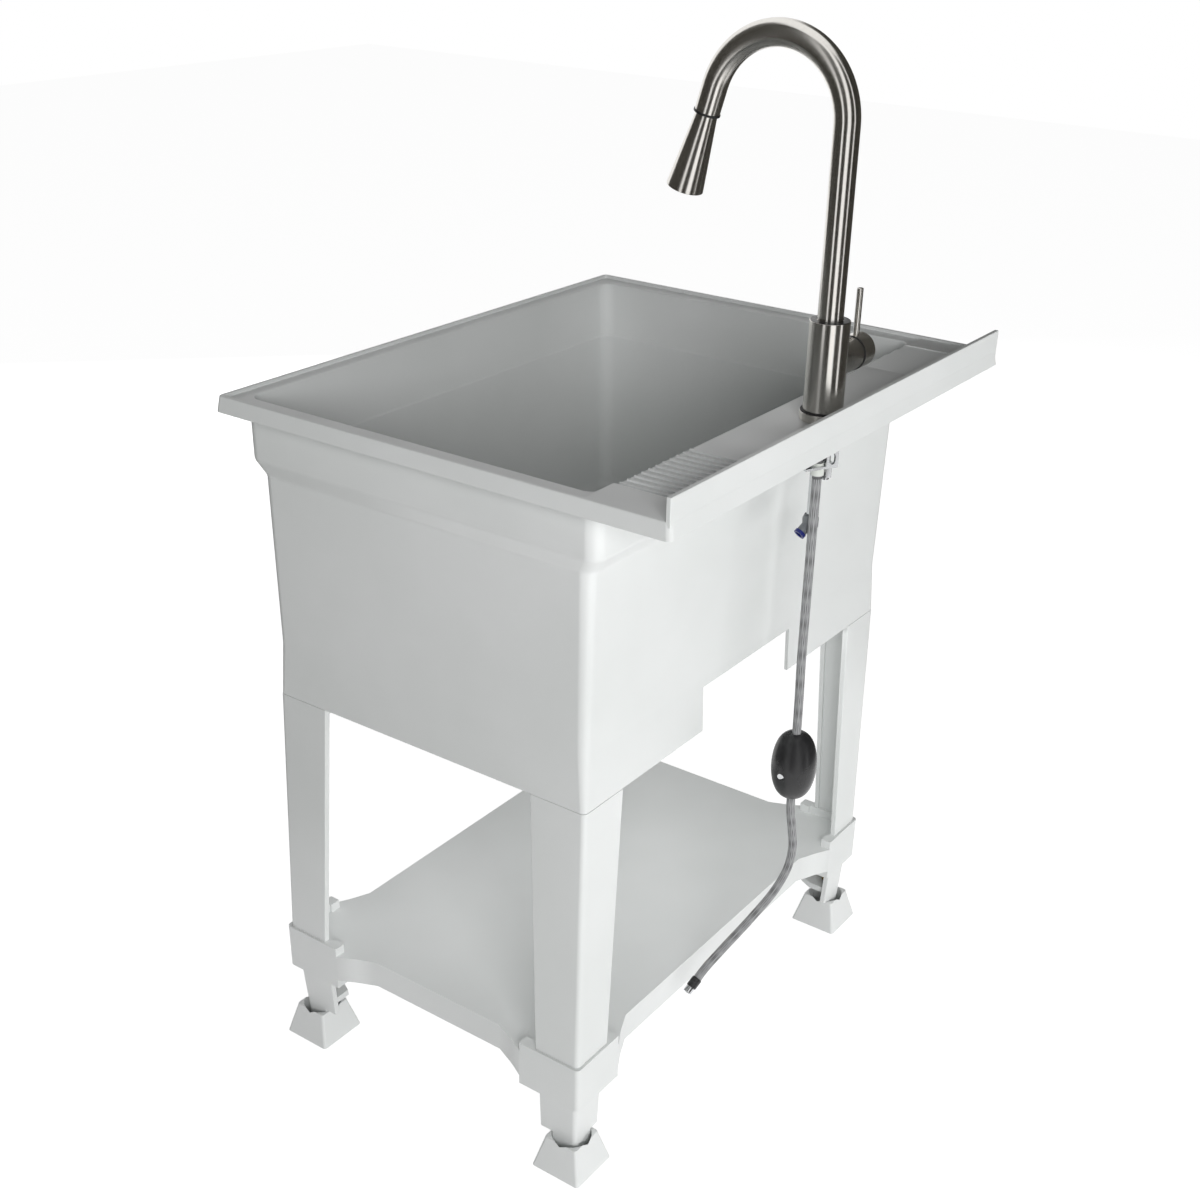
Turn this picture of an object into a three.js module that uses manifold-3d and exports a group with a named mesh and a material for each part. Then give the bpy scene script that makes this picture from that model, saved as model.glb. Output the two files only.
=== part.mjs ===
// Free-standing utility laundry sink with a pull-down faucet. Millimetres, +Z up.
// The user stands at -Y, the low splash is at +Y, and the origin is on the floor
// under the middle of the rim.
import * as THREE from 'three';
import { mergeVertices } from 'three/addons/utils/BufferGeometryUtils.js';
import Module from 'manifold-3d';

const wasm = await Module();
wasm.setup();

// ---------- driving dimensions ----------

const GAP = 0.3; // between pieces that touch
const CUT = 1; // how far a cutting solid runs past the face it opens

// Rim, deck and splash
const rimHalfWidth = 352.6;
const rimHalfDepth = 290.4;
const rimHeight = 870;
const rimCorner = 6;
const lipWidth = 5;
const lipRise = 4;
const topWall = 4;
const skirtDepth = 18;
const skirtFlare = 2.7;
const skirtWall = 3.2;
const splashRise = 23.5;
const splashWall = 5.4;
const deckDepth = 95.4;

// Tub
const bandOverhang = 21.6;
const frontOverhang = 15.4;
const tubCorner = 16;
const shoulderCorner = 14;
const waistCorner = 11;
const hemCorner = 7;
const tubWall = 4.5;
const bandHeight = 69;
const shoulderDrop = 19;
const shoulderInset = 9;
const shoulderBackInset = 14;
const innerInset = 3.5;
const innerLowInset = 6;
const innerLedge = 1.5;
const innerLedgeRise = 2;
const tubDepth = 293;
const floorWall = 5;
const floorFall = 3;
const sideDraft = 1.5;
const backDraft = 4;
const footFlare = 2.5;
const plumbingDepth = 66;
const notchHalfWidth = 96;
const notchHeight = 56;

// Drainboard ribs and slats on the deck
const padWidth = 46;
const ribCount = 11;
const ribPitch = 12;
const ribWidth = 3.4;
const ribRise = 2.2;
const firstRib = 172;
const slatCount = 4;
const slatPitch = 26.7;
const slatWidth = 26;
const slatRise = 2.2;
const slatStep = 0.28;
const firstSlat = -202;

// Drain
const drainHole = 24;
const drainFlange = 40;
const drainTube = 22.5;
const drainBore = 19.5;
const drainLength = 62;
const drainRise = 3;
const drainEdge = 2;
const gasketThickness = 3.5;
const locknutRadius = 34;
const locknutHeight = 9;
const locknutTab = 14;
const seatRim = 24;
const seatDepth = 6;
const seatGap = 0.4;
const basketDepth = 22;
const basketWall = 2;
const basketKnob = 6;
const basketHole = 2.6;
const basketHoles = 6;

// Legs, angle section
const legBottom = 116;
const legWall = 4.6;
const legBead = 7;
const legTopSide = 73;
const legTopBack = 70;
const legLowSide = 61;
const legLowBack = 58;
const legTongue = 48;
const legSplayX = 9.9;
const legSplayBack = 1.6;
const legSplayFront = 10;
const legCorner = 6;

// Shelf
const shelfHalfWidth = 314;
const shelfHalfDepth = 209;
const shelfTop = 158;
const shelfDepth = 37;
const shelfWall = 4;
const socketTop = 170;
const socketHeight = 61;
const socketWall = 3.45;
const socketReachX = 80;
const socketReachY = 86;
const wingRun = 50;
const wingRoom = 8;
const shelfRibX = 120;
const shelfRibHalf = 2;
const shelfRibLift = 8;
const stubBottom = 47;
const stubInset = 5;
const stubLean = 3.5;
const stubShorterBack = 10.6;
const stubShorterSide = 6.4;
const stubTaper = 0.06;

// Feet
const footHalf = 34.3;
const footTopHalf = 23;
const footHeight = 44.4;
const footBore = 24;
const footFloor = 12;
const footInX = 21.6;
const footInY = 23.4;
const footCorner = 4;
const glideRadius = 20;
const glideHeight = 4.5;
const glideProud = 0.8;
const screwRadius = 5;
const screwLength = 82;
const screwHead = 14;
const screwHeadHeight = 5;
const insertRadius = 7.2;
const insertLength = 16;
const insertFlange = 1.4;
const webThickness = 8;
const webHeight = 60;
const webReach = 49;
const webCut = 19;
const travelGap = 1;

// Faucet
const faucetBack = 42.9;
const flangeRadius = 24.4;
const flangeHeight = 9;
const flangeEdge = 0.4;
const sealHeight = 1;
const bodyRadius = 21.4;
const bodyHeight = 94;
const bodyBore = 16;
const bodyFloor = 13;
const deckHole = 21;
const bushHeight = 5;
const bushInner = 13.9;
const bushOuter = 19;
const bushLip = 20.6;
const bushLipHeight = 1.2;
const spoutRadius = 13.5;
const spoutWall = 2.3;
const spoutSunk = 65.9;
const spoutArcRise = 188.8;
const spoutArcRadius = 78;
const spoutArcAngle = 163;
const spoutNose = 26;
const bushProud = 0.4;
const lowerBushLift = 4;
const lowerBushHeight = 6;
const endRingRadius = 14.2;
const endRingHeight = 2.2;
const headLength = 79;
const headTop = 11.6;
const headBottom = 20.1;
const headWall = 2;
const neckLength = 16;
const nozzleThickness = 5;
const hoseRadius = 5.25;
const hoseLead = 12;

// Side control
const controlRise = 48.1;
const housingRadius = 17.6;
const controlPivot = 33;
const seamRadius = 25.4;
const capRadius = 18.5;
const capEnd = 74;
const cartridgeRadius = 14.6;
const cartridgeBore = 10.4;
const cartridgeStart = 22.3;
const cartridgeEnd = 44;
const rotorRadius = 10;
const rotorEnd = 41;
const stemRadius = 3;
const stemEnd = 67;
const stemPin = 1.8;
const stemPinLength = 7;
const leverRadius = 3.5;
const leverAt = 61.5;
const leverRise = 67;
const leverSunk = 6;
const setScrewRadius = 2;

// Fixing under the deck
const bracketHalf = 20;
const bracketBehind = 8.5;
const bracketAhead = 22;
const bracketDrop = 50;
const bracketWall = 2.8;
const bracketTurn = 29;
const gasketMargin = 9;
const gasketHeight = 3;
const tabInset = 5;
const slotLength = 12.3;
const slotHalf = 3.6;
const slotRise = 10;
const studX = -14.6;
const studY = 2.5;
const studRadius = 4;
const studTail = 17;
const nutFlats = 12;
const nutHeight = 14;
const hoseBushRadius = 7.2;
const hoseBushNeck = 6.5;
const hoseBushLip = 8;
const hoseBushRise = 3;
const outletX = -11.2;
const outletY = -9.2;
const outletRadius = 5;
const outletDrop = 68.5;
const collarRadius = 9;
const collarHeight = 18;
const spigotRadius = 6;
const spigotLength = 15.5;
const spigotAngle = 38;
const spigotTurn = 20;
const outletRingHeight = 4;

// Hanging hose and its weight
const weightX = -4;
const weightRadius = 27;
const weightGrip = 0.6;
const weightDrop = 404;
const weightHeight = 87;
const weightTurn = 20;
const weightScrewOff = 11.5;
const weightScrewRise = 37;
const weightScrewSeat = 20;
const weightScrewReach = 14;
const weightScrewRadius = 2.2;
const weightHeadRadius = 4;
const sleeveLength = 13;
const sleeveRadius = 6.4;
const ferruleLength = 8;
const ferruleRadius = 5.6;
const ferruleBore = 3;
// Points on the hanging hose's line, from where it leaves the bush.
const hoseRoute = [
  [0, 0, -60],
  [0, 0, -140],
  [-0.5, 0, -220],
  [-3, 0, -275],
  [-4, 0, -312],
  [-4, 0, -360],
  [-4, 0, -408],
  [-6, 0, -428],
  [-14, -0.3, -457],
  [-22, -1.5, -490],
  [-21, -5.5, -521],
  [-4, -12, -548],
  [34, -21.5, -573],
  [78, -31.5, -595],
  [110, -38.5, -611.5],
  [122, -41, -620],
];

// ---------- worked-out levels ----------

const ledgeZ = rimHeight - lipRise;
const skirtBottom = rimHeight - skirtDepth;
const shoulderTop = ledgeZ - bandHeight;
const shoulderLow = shoulderTop - shoulderDrop;
const floorZ = rimHeight - tubDepth;
const floorUnder = floorZ - floorWall;
const splashFace = rimHalfDepth - splashWall;
const tubBack = rimHalfDepth - deckDepth;
const tubHalf = rimHalfWidth - bandOverhang;
const tubFront = frontOverhang - rimHalfDepth;
const drainY = (tubFront + tubBack) / 2;
const tubBottom = floorUnder - plumbingDepth;
const shelfUnder = shelfTop - shelfDepth;
const socketBottom = socketTop - socketHeight;
const flangeZ = ledgeZ + GAP;
const sealZ = flangeZ + flangeHeight + GAP;
const bodyZ = sealZ + sealHeight + GAP;
const bodyTop = bodyZ + bodyHeight;
const faucetY = rimHalfDepth - faucetBack;
const spoutFoot = bodyTop - spoutSunk;
const spoutArcHeight = bodyTop + spoutArcRise;
const controlZ = bodyZ + controlRise;
const leverSeat = controlZ + capRadius - leverSunk;
const leverTop = controlZ + leverRise;
const deckUnder = ledgeZ - topWall;
const bracketHeight = deckUnder - bracketDrop;
const bracketTop = deckUnder - 2 * GAP - gasketHeight;
const studTop = bodyZ + bodyFloor - 2 - GAP;
const studBottom = bracketHeight - studTail;
const outletBottom = bracketHeight - outletDrop;
const hoseStart = bracketHeight - hoseLead;
const weightBottom = hoseStart - weightDrop;
const weightTop = weightBottom + weightHeight;
const weightScrewZ = weightBottom + weightScrewRise;

const colours = {
  white: { color: 0xe6e8e6, roughness: 0.4, metalness: 0 },
  steel: { color: 0x9d958b, roughness: 0.32, metalness: 0.9 },
  bright: { color: 0xd2d4d4, roughness: 0.2, metalness: 0.95 },
  black: { color: 0x17181a, roughness: 0.45, metalness: 0 },
  rubber: { color: 0x26272a, roughness: 0.8, metalness: 0 },
  nylon: { color: 0xc8cac6, roughness: 0.6, metalness: 0 },
  hose: { color: 0x8b8e90, roughness: 0.7, metalness: 0.2 },
  brass: { color: 0xb48a4a, roughness: 0.35, metalness: 0.9 },
  blue: { color: 0x1d2a6b, roughness: 0.5, metalness: 0 },
  grey: { color: 0x6c6f72, roughness: 0.5, metalness: 0.3 },
};

// ---------- solids ----------

function toSolid(geometry) {
  const bare = geometry.clone();
  bare.deleteAttribute('normal');
  bare.deleteAttribute('uv');
  const merged = mergeVertices(bare, 1e-4);
  return new wasm.Manifold(new wasm.Mesh({
    numProp: 3,
    vertProperties: new Float32Array(merged.attributes.position.array),
    triVerts: new Uint32Array(merged.index.array),
  }));
}

function toGeometry(solid) {
  const mesh = solid.getMesh();
  const geometry = new THREE.BufferGeometry();
  geometry.setAttribute('position', new THREE.BufferAttribute(mesh.vertProperties, mesh.numProp));
  geometry.setIndex(new THREE.BufferAttribute(mesh.triVerts, 1));
  geometry.computeVertexNormals();
  return geometry;
}

function unite(solids) {
  return solids.reduce((whole, solid) => whole.add(solid));
}

function cutAll(solid, cutters) {
  return cutters.reduce((left, cutter) => left.subtract(cutter), solid);
}

// Moves every vertex with move(point), and turns the faces over where that mirrors them.
function reshape(geometry, move, mirrored = false) {
  const position = geometry.attributes.position;
  const point = new THREE.Vector3();
  for (let i = 0; i < position.count; i += 1) {
    point.fromBufferAttribute(position, i);
    move(point);
    position.setXYZ(i, point.x, point.y, point.z);
  }
  if (mirrored) {
    for (let i = 0; i < position.count; i += 3) {
      const second = new THREE.Vector3().fromBufferAttribute(position, i + 1);
      const third = new THREE.Vector3().fromBufferAttribute(position, i + 2);
      position.setXYZ(i + 1, third.x, third.y, third.z);
      position.setXYZ(i + 2, second.x, second.y, second.z);
    }
  }
  return geometry;
}

function prism(shape, low, high, steps = 1, curveSegments = 2) {
  const geometry = new THREE.ExtrudeGeometry(shape, {
    depth: high - low,
    steps,
    bevelEnabled: false,
    curveSegments,
  });
  return geometry.translate(0, 0, low);
}

function box(x0, x1, y0, y1, z0, z1) {
  const geometry = new THREE.BoxGeometry(x1 - x0, y1 - y0, z1 - z0);
  geometry.translate((x0 + x1) / 2, (y0 + y1) / 2, (z0 + z1) / 2);
  return toSolid(geometry);
}

// An upright round rod or hole from z = low to z = high.
function rod(x, y, radius, low, high, sides = 20) {
  const geometry = new THREE.CylinderGeometry(radius, radius, high - low, sides);
  geometry.rotateX(Math.PI / 2);
  geometry.translate(x, y, (low + high) / 2);
  return toSolid(geometry);
}

// A turned solid round Z. Its profile is [radius, height] points, listed anticlockwise.
function turned(profile, sides = 24) {
  const points = profile.map(([radius, height]) => new THREE.Vector2(radius, height));
  if (profile[0][0] > 0) {
    points.push(points[0].clone());
  }
  const geometry = new THREE.LatheGeometry(points, sides);
  geometry.rotateX(Math.PI / 2);
  return toSolid(geometry);
}

function tubeProfile(inner, outer, low, high) {
  return [[inner, low], [outer, low], [outer, high], [inner, high]];
}

function moved(solid, matrix) {
  return toSolid(toGeometry(solid).applyMatrix4(matrix));
}

function shifted(solid, x, y, z) {
  return moved(solid, new THREE.Matrix4().makeTranslation(x, y, z));
}

// Rectangle outlines: half width to both sides, and a front and a back.
function area(half, front, back) {
  return { half, front, back };
}

function inset(rect, by) {
  return area(rect.half - by, rect.front + by, rect.back - by);
}

function roundedRect(rect, radius) {
  const shape = new THREE.Shape();
  const { half, front, back } = rect;
  shape.absarc(half - radius, back - radius, radius, 0, Math.PI / 2);
  shape.absarc(radius - half, back - radius, radius, Math.PI / 2, Math.PI);
  shape.absarc(radius - half, front + radius, radius, Math.PI, Math.PI * 1.5);
  shape.absarc(half - radius, front + radius, radius, Math.PI * 1.5, Math.PI * 2);
  return shape;
}

// A rounded block whose outline changes from level to level: [[z, rect, radius], ...].
function loft(levels) {
  const [, base, round] = levels[levels.length - 1];
  const depth = levels.length - 1;
  const geometry = prism(roundedRect(base, round), 0, depth, depth);
  const middle = (base.front + base.back) / 2;
  reshape(geometry, (point) => {
    const [height, rect, radius] = levels[Math.round(point.z)];
    const turn = radius / round;
    const side = Math.sign(point.x);
    const centreY = point.y > middle ? rect.back - radius : rect.front + radius;
    const baseY = point.y > middle ? base.back - round : base.front + round;
    point.x = side * (rect.half - radius) + (point.x - side * (base.half - round)) * turn;
    point.y = centreY + (point.y - baseY) * turn;
    point.z = height;
  });
  return toSolid(geometry);
}

// ---------- tub ----------

const bandArea = area(tubHalf, tubFront, tubBack);
const shoulderArea = area(
  tubHalf - shoulderInset,
  tubFront + shoulderInset,
  tubBack - shoulderBackInset,
);
const waistArea = area(
  shoulderArea.half - sideDraft,
  shoulderArea.front + sideDraft,
  shoulderArea.back - backDraft,
);
const hemArea = inset(waistArea, -footFlare);

function deckRibs() {
  const ribs = [];
  for (let i = 0; i < ribCount; i += 1) {
    const x = firstRib + i * ribPitch;
    const rib = new THREE.Shape();
    rib.moveTo(x - ribWidth / 2, ledgeZ - CUT);
    rib.lineTo(x + ribWidth / 2, ledgeZ - CUT);
    rib.lineTo(x + ribWidth / 4, ledgeZ + ribRise);
    rib.lineTo(x - ribWidth / 4, ledgeZ + ribRise);
    ribs.push(alongDeck(rib));
  }
  for (let i = 0; i < slatCount; i += 1) {
    const x = firstSlat - i * slatPitch;
    const low = ledgeZ + slatStep * (i + 1);
    const slat = new THREE.Shape();
    slat.moveTo(x, ledgeZ - CUT);
    slat.lineTo(x, low);
    slat.lineTo(x - slatWidth, low + slatRise);
    slat.lineTo(x - slatWidth, ledgeZ - CUT);
    slat.closePath();
    ribs.push(alongDeck(slat));
  }
  return ribs;
}

// A section in X and Z, run along the deck from the basin to the splash.
function alongDeck(shape) {
  const length = splashFace - tubBack + tubWall;
  const geometry = prism(shape, 0, length);
  geometry.rotateX(Math.PI / 2);
  geometry.translate(0, splashFace, 0);
  return toSolid(geometry);
}

// A block on the deck from the basin's back wall to the splash, as high as the lip.
function deckPad(x0, x1) {
  return box(x0, x1, tubBack - tubWall, splashFace + CUT, ledgeZ - CUT, rimHeight);
}

function tubOutside() {
  const skirtArea = area(rimHalfWidth, -rimHalfDepth, rimHalfDepth);
  const flared = inset(skirtArea, -skirtFlare);
  const shell = loft([
    [tubBottom, hemArea, hemCorner],
    [floorUnder, waistArea, waistCorner],
    [shoulderLow, shoulderArea, shoulderCorner],
    [shoulderTop, bandArea, tubCorner],
    [ledgeZ, bandArea, tubCorner],
  ]);
  const rim = loft([[skirtBottom, flared, rimCorner], [rimHeight, skirtArea, rimCorner]]);
  const underRim = loft([
    [skirtBottom - CUT, inset(flared, skirtWall), rimCorner],
    [deckUnder, inset(skirtArea, skirtWall), rimCorner],
  ]);
  const ledge = area(rimHalfWidth - lipWidth, lipWidth - rimHalfDepth, splashFace);
  const recess = toSolid(prism(roundedRect(ledge, rimCorner / 2), ledgeZ, rimHeight + CUT));
  const splashTop = rimHeight + splashRise;
  return unite([
    rim.subtract(underRim).subtract(recess),
    shell,
    box(-rimHalfWidth, rimHalfWidth, splashFace, rimHalfDepth, ledgeZ - CUT, splashTop),
    deckPad(rimHalfWidth - lipWidth - padWidth, rimHalfWidth - CUT),
    deckPad(CUT - rimHalfWidth, padWidth - rimHalfWidth),
    ...deckRibs(),
  ]);
}

function basinHollow() {
  const mouth = area(tubHalf - tubWall, tubFront + tubWall, tubBack - tubWall);
  const inner = inset(shoulderArea, innerInset);
  const innerLow = inset(waistArea, innerLowInset);
  const wallFoot = floorZ + floorFall;
  const seat = area(drainFlange, drainY - drainFlange, drainY + drainFlange);
  return loft([
    [floorZ, seat, drainFlange],
    [wallFoot, inset(innerLow, tubCorner), tubCorner / 2],
    [wallFoot + tubCorner / 3, inset(innerLow, tubCorner / 3), tubCorner],
    [wallFoot + tubCorner, innerLow, tubCorner],
    [shoulderTop, inner, tubCorner],
    [shoulderTop + innerLedgeRise, inset(inner, -innerLedge), tubCorner],
    [ledgeZ, mouth, tubCorner],
    [rimHeight + CUT, mouth, tubCorner],
  ]);
}

function tub() {
  const plumbingSpace = loft([
    [tubBottom - CUT, inset(hemArea, tubWall), hemCorner - tubWall],
    [floorUnder, inset(waistArea, tubWall), waistCorner - tubWall],
  ]);
  const notchTop = tubBottom + notchHeight;
  return cutAll(tubOutside(), [
    basinHollow(),
    plumbingSpace,
    box(-notchHalfWidth, notchHalfWidth, 0, tubBack + CUT, tubBottom - CUT, notchTop),
    rod(0, drainY, drainHole, floorUnder - CUT, floorZ + CUT + floorFall),
    rod(0, faucetY, deckHole, deckUnder - CUT, rimHeight + CUT),
  ]);
}

// ---------- drain ----------

const drainTop = floorZ + GAP + drainRise;

function drainBody() {
  const low = drainTop - drainLength;
  return shifted(turned([
    [drainBore, low],
    [drainTube, low],
    [drainTube, floorZ + GAP],
    [drainFlange - drainEdge, floorZ + GAP],
    [drainFlange - drainEdge, drainTop - 1],
    [drainFlange - 2 * drainEdge, drainTop],
    [seatRim, drainTop],
    [drainBore, drainTop - seatDepth],
  ]), 0, drainY, 0);
}

function drainGasket() {
  const high = floorUnder - GAP;
  const ring = tubeProfile(drainTube + GAP, locknutRadius - drainEdge, high - gasketThickness, high);
  return shifted(turned(ring), 0, drainY, 0);
}

function drainLocknut() {
  const high = floorUnder - 2 * GAP - gasketThickness;
  const low = high - locknutHeight;
  const nutWall = (locknutRadius - drainTube) / 2;
  const ring = turned(tubeProfile(drainTube + GAP, drainTube + nutWall, low, high));
  const tabs = [];
  for (let i = 0; i < 3; i += 1) {
    const tab = box(drainTube + drainEdge, locknutRadius, -locknutTab / 2, locknutTab / 2, low, high);
    tabs.push(moved(tab, new THREE.Matrix4().makeRotationZ((i * Math.PI * 2) / 3)));
  }
  return shifted(unite([ring, ...tabs]), 0, drainY, 0);
}

function drainBasket() {
  const outer = drainBore - 2 * seatGap;
  const seat = drainTop - seatDepth / 4;
  const seatRadius = drainBore - seatGap + 0.75 * (seatRim - drainBore);
  const neck = drainTop - seatDepth;
  const low = drainTop - seatDepth - basketDepth;
  const floor = low + basketWall;
  const cup = turned([
    [0, low],
    [outer, low],
    [outer, neck],
    [seatRadius, seat],
    [seatRadius, seat + basketWall],
    [seatRadius - basketWall, seat + basketWall],
    [outer - basketWall, neck],
    [outer - basketWall, floor],
    [basketKnob - basketWall, floor],
    [basketKnob - basketWall, seat],
    [basketKnob, seat + basketWall],
    [basketKnob, seat + basketKnob],
    [0, seat + basketKnob],
  ]);
  const holes = [];
  const reach = (outer + basketKnob) / 2;
  for (let i = 0; i < basketHoles; i += 1) {
    const angle = (i * Math.PI * 2) / basketHoles;
    const x = reach * Math.cos(angle);
    holes.push(rod(x, reach * Math.sin(angle), basketHole, low - CUT, floor + CUT, 8));
  }
  return shifted(cutAll(cup, holes), 0, drainY, 0);
}

// ---------- legs ----------

const legTop = { x: hemArea.half, back: hemArea.back, front: hemArea.front };
const legFoot = {
  x: legTop.x + legSplayX,
  back: legTop.back + legSplayBack,
  front: legTop.front - legSplayFront,
};
const legSeam = tubBottom - GAP;
const shelfY = (legFoot.front + legFoot.back) / 2;

// Angle section with its outer corner at the origin and its flanges along -X and -Y.
// The free edges end in beads. grow widens the section all round.
function angleShape(alongX, alongY, wall, bead, grow = 0) {
  const out = grow;
  const inner = -wall - grow;
  const roll = -bead - grow;
  const endX = -alongX - grow;
  const endY = -alongY - grow;
  const radius = legCorner;
  const small = 1.5;
  const shape = new THREE.Shape();
  shape.absarc(out - radius, out - radius, radius, 0, Math.PI / 2);
  shape.lineTo(endX + small, out);
  shape.quadraticCurveTo(endX, out, endX, out - small);
  shape.lineTo(endX, roll);
  shape.lineTo(endX + bead + 2 * grow, roll);
  shape.lineTo(endX + bead + 2 * grow, inner);
  shape.lineTo(inner - radius / 2, inner);
  shape.quadraticCurveTo(inner, inner, inner, inner - radius / 2);
  shape.lineTo(inner, endY + bead + 2 * grow);
  shape.lineTo(roll, endY + bead + 2 * grow);
  shape.lineTo(roll, endY);
  shape.lineTo(out - small, endY);
  shape.quadraticCurveTo(out, endY, out, endY + small);
  return shape;
}

// Stands a section, drawn as angleShape draws it, at one of the four corners.
// side is +1 for +X, end is +1 for the back. The corner runs from low to high.
function standAngle(shape, zLow, zHigh, side, end, cornerAt, narrow = () => [1, 1]) {
  const geometry = prism(shape, zLow, zHigh);
  reshape(geometry, (point) => {
    const [x, y] = cornerAt(point.z);
    const [shareX, shareY] = narrow(point.z);
    const reachX = point.x < -legCorner ? (point.x + legCorner) * shareX - legCorner : point.x;
    const reachY = point.y < -legCorner ? (point.y + legCorner) * shareY - legCorner : point.y;
    point.x = side * (x + reachX);
    point.y = end > 0 ? y + reachY : y - reachY;
  }, side * end < 0);
  return toSolid(geometry);
}

// Where the leg's outer corner is at a height, and how much narrower its flanges are there.
function legCornerAt(end) {
  const top = end > 0 ? legTop.back : legTop.front;
  const foot = end > 0 ? legFoot.back : legFoot.front;
  return (z) => {
    const share = (legSeam - z) / (legSeam - socketTop);
    return [legTop.x + share * (legFoot.x - legTop.x), top + share * (foot - top)];
  };
}

function legNarrow(z) {
  const share = (legSeam - z) / (legSeam - socketTop);
  const shareX = 1 + share * ((legLowBack - legCorner) / (legTopBack - legCorner) - 1);
  const shareY = 1 + share * ((legLowSide - legCorner) / (legTopSide - legCorner) - 1);
  return [shareX, shareY];
}

function legSolid(side, end, low, high, grow = 0) {
  const shape = angleShape(legTopBack, legTopSide, legWall, legBead, grow);
  return standAngle(shape, low, high, side, end, legCornerAt(end), legNarrow);
}

function leg(side, end) {
  const main = legSolid(side, end, legBottom, legSeam);
  const y = end > 0 ? legTop.back : legTop.front;
  const inward = tubWall + GAP;
  const tongueAt = (z) => {
    const lean = inward + (footFlare * (z - tubBottom)) / (floorUnder - tubBottom);
    return [legTop.x - lean, y - end * lean];
  };
  const width = legTopBack - inward - legBead;
  const depth = legTopSide - inward - legBead;
  const tongueShape = angleShape(width, depth, legWall, legWall);
  const tongue = standAngle(tongueShape, legSeam - legBead, legSeam + legTongue, side, end, tongueAt);
  const ledgeShape = angleShape(legTopBack - 1, legTopSide - 1, inward + legWall, inward + legWall);
  const ledgeAt = () => [legTop.x, y];
  const ledge = standAngle(ledgeShape, legSeam - legBead, legSeam, side, end, ledgeAt);
  return unite([main, ledge, tongue]);
}

// ---------- shelf ----------

const stubAt = { x: legFoot.x, back: legFoot.back, front: legFoot.front };

function socketCorner(end) {
  const y = end > 0 ? stubAt.back : stubAt.front;
  return [stubAt.x + socketWall, y + end * socketWall];
}

// Plan of one socket with the wings that run into the shelf's edges, drawn from its
// outer corner with the flanges along -X and -Y. edgeX and edgeY are how far in the
// shelf's own edges lie.
function socketPlan(edgeX, edgeY) {
  const shape = new THREE.Shape();
  shape.absarc(-legCorner, -legCorner, legCorner, 0, Math.PI / 2);
  shape.lineTo(-socketReachX, 0);
  shape.bezierCurveTo(
    -socketReachX - wingRun * 0.4, 0,
    -socketReachX - wingRun * 0.4, -edgeY,
    -socketReachX - wingRun, -edgeY - CUT,
  );
  shape.lineTo(-edgeX - wingRoom, -socketReachY - wingRun);
  shape.lineTo(-edgeX - CUT, -socketReachY - wingRun);
  shape.bezierCurveTo(
    -edgeX, -socketReachY - wingRun * 0.4,
    0, -socketReachY - wingRun * 0.4,
    0, -socketReachY,
  );
  return shape;
}

function shelfCorner(side, end) {
  const [x, y] = socketCorner(end);
  const at = () => [x, y];
  const edgeX = x - shelfHalfWidth;
  const edgeY = end * (y - shelfY) - shelfHalfDepth;
  const wings = standAngle(socketPlan(edgeX, edgeY), shelfUnder, shelfTop, side, end, at);
  const block = new THREE.Shape();
  block.absarc(-legCorner, -legCorner, legCorner, 0, Math.PI / 2);
  block.lineTo(-socketReachX, 0);
  block.lineTo(-socketReachX, -socketReachY);
  block.lineTo(0, -socketReachY);
  const base = standAngle(block, socketBottom, shelfTop, side, end, at);
  const band = 2 * socketWall + legWall + 2 * GAP;
  const rimShape = angleShape(socketReachX, socketReachY, band, band + legBead - legWall);
  const raised = standAngle(rimShape, shelfTop - CUT, socketTop, side, end, at);
  return [wings, base, raised];
}

// Hollow under the shelf inside one socket, clear of the leg's slot.
function cornerHollow(side, end) {
  const [x, y] = socketCorner(end);
  const reach = 2 * socketWall + legWall + legBead;
  const x0 = x - socketReachX + shelfWall;
  const x1 = x - reach - shelfWall;
  const y0 = y - end * (socketReachY - shelfWall);
  const y1 = y - end * (reach + shelfWall);
  const lowX = side > 0 ? x0 : -x1;
  const highX = side > 0 ? x1 : -x0;
  return box(lowX, highX, Math.min(y0, y1), Math.max(y0, y1), socketBottom - CUT, shelfTop - shelfWall);
}

function footCentre(side, end) {
  const y = end > 0 ? stubAt.back : stubAt.front;
  return [side * (stubAt.x - footInX), y - end * footInY];
}

// Short angle leg under one socket, leaning in, trimmed round where it stands in the
// foot's bore, with a web that carries the foot screw's insert.
function stub(side, end) {
  const y = end > 0 ? stubAt.back : stubAt.front;
  const down = (z) => (socketBottom - z) / (socketBottom - stubBottom);
  const at = (z) => {
    const lean = stubInset + stubLean * down(z);
    return [stubAt.x - lean, y - end * lean];
  };
  const narrow = (z) => {
    const share = 1 - stubTaper * down(z);
    return [share, share];
  };
  const alongX = legLowBack - stubShorterBack;
  const shape = angleShape(alongX, legLowSide - stubShorterSide, legWall, legBead);
  const upper = standAngle(shape, stubBottom, socketBottom + CUT, side, end, at, narrow);
  const [cx, cy] = footCentre(side, end);
  const low = footHeight / 2;
  const inFoot = standAngle(shape, low, stubBottom + CUT, side, end, at, narrow);
  const round = rod(cx, cy, footBore - travelGap, 0, socketTop);
  const near = -legWall / 2;
  const webShape = new THREE.Shape();
  webShape.moveTo(near, near);
  webShape.lineTo(webCut / 2 - webReach, near);
  webShape.lineTo(webCut / 2 - webReach, webCut - webReach);
  webShape.lineTo(webCut - webReach, -webReach);
  webShape.lineTo(near, -webReach);
  const webTop = webHeight + webThickness;
  const web = standAngle(webShape, webHeight, webTop, side, end, at);
  const hole = rod(cx, cy, insertRadius + GAP, webHeight - CUT, webTop + CUT, 16);
  return unite([upper, inFoot.intersect(round), web]).subtract(hole);
}

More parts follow.
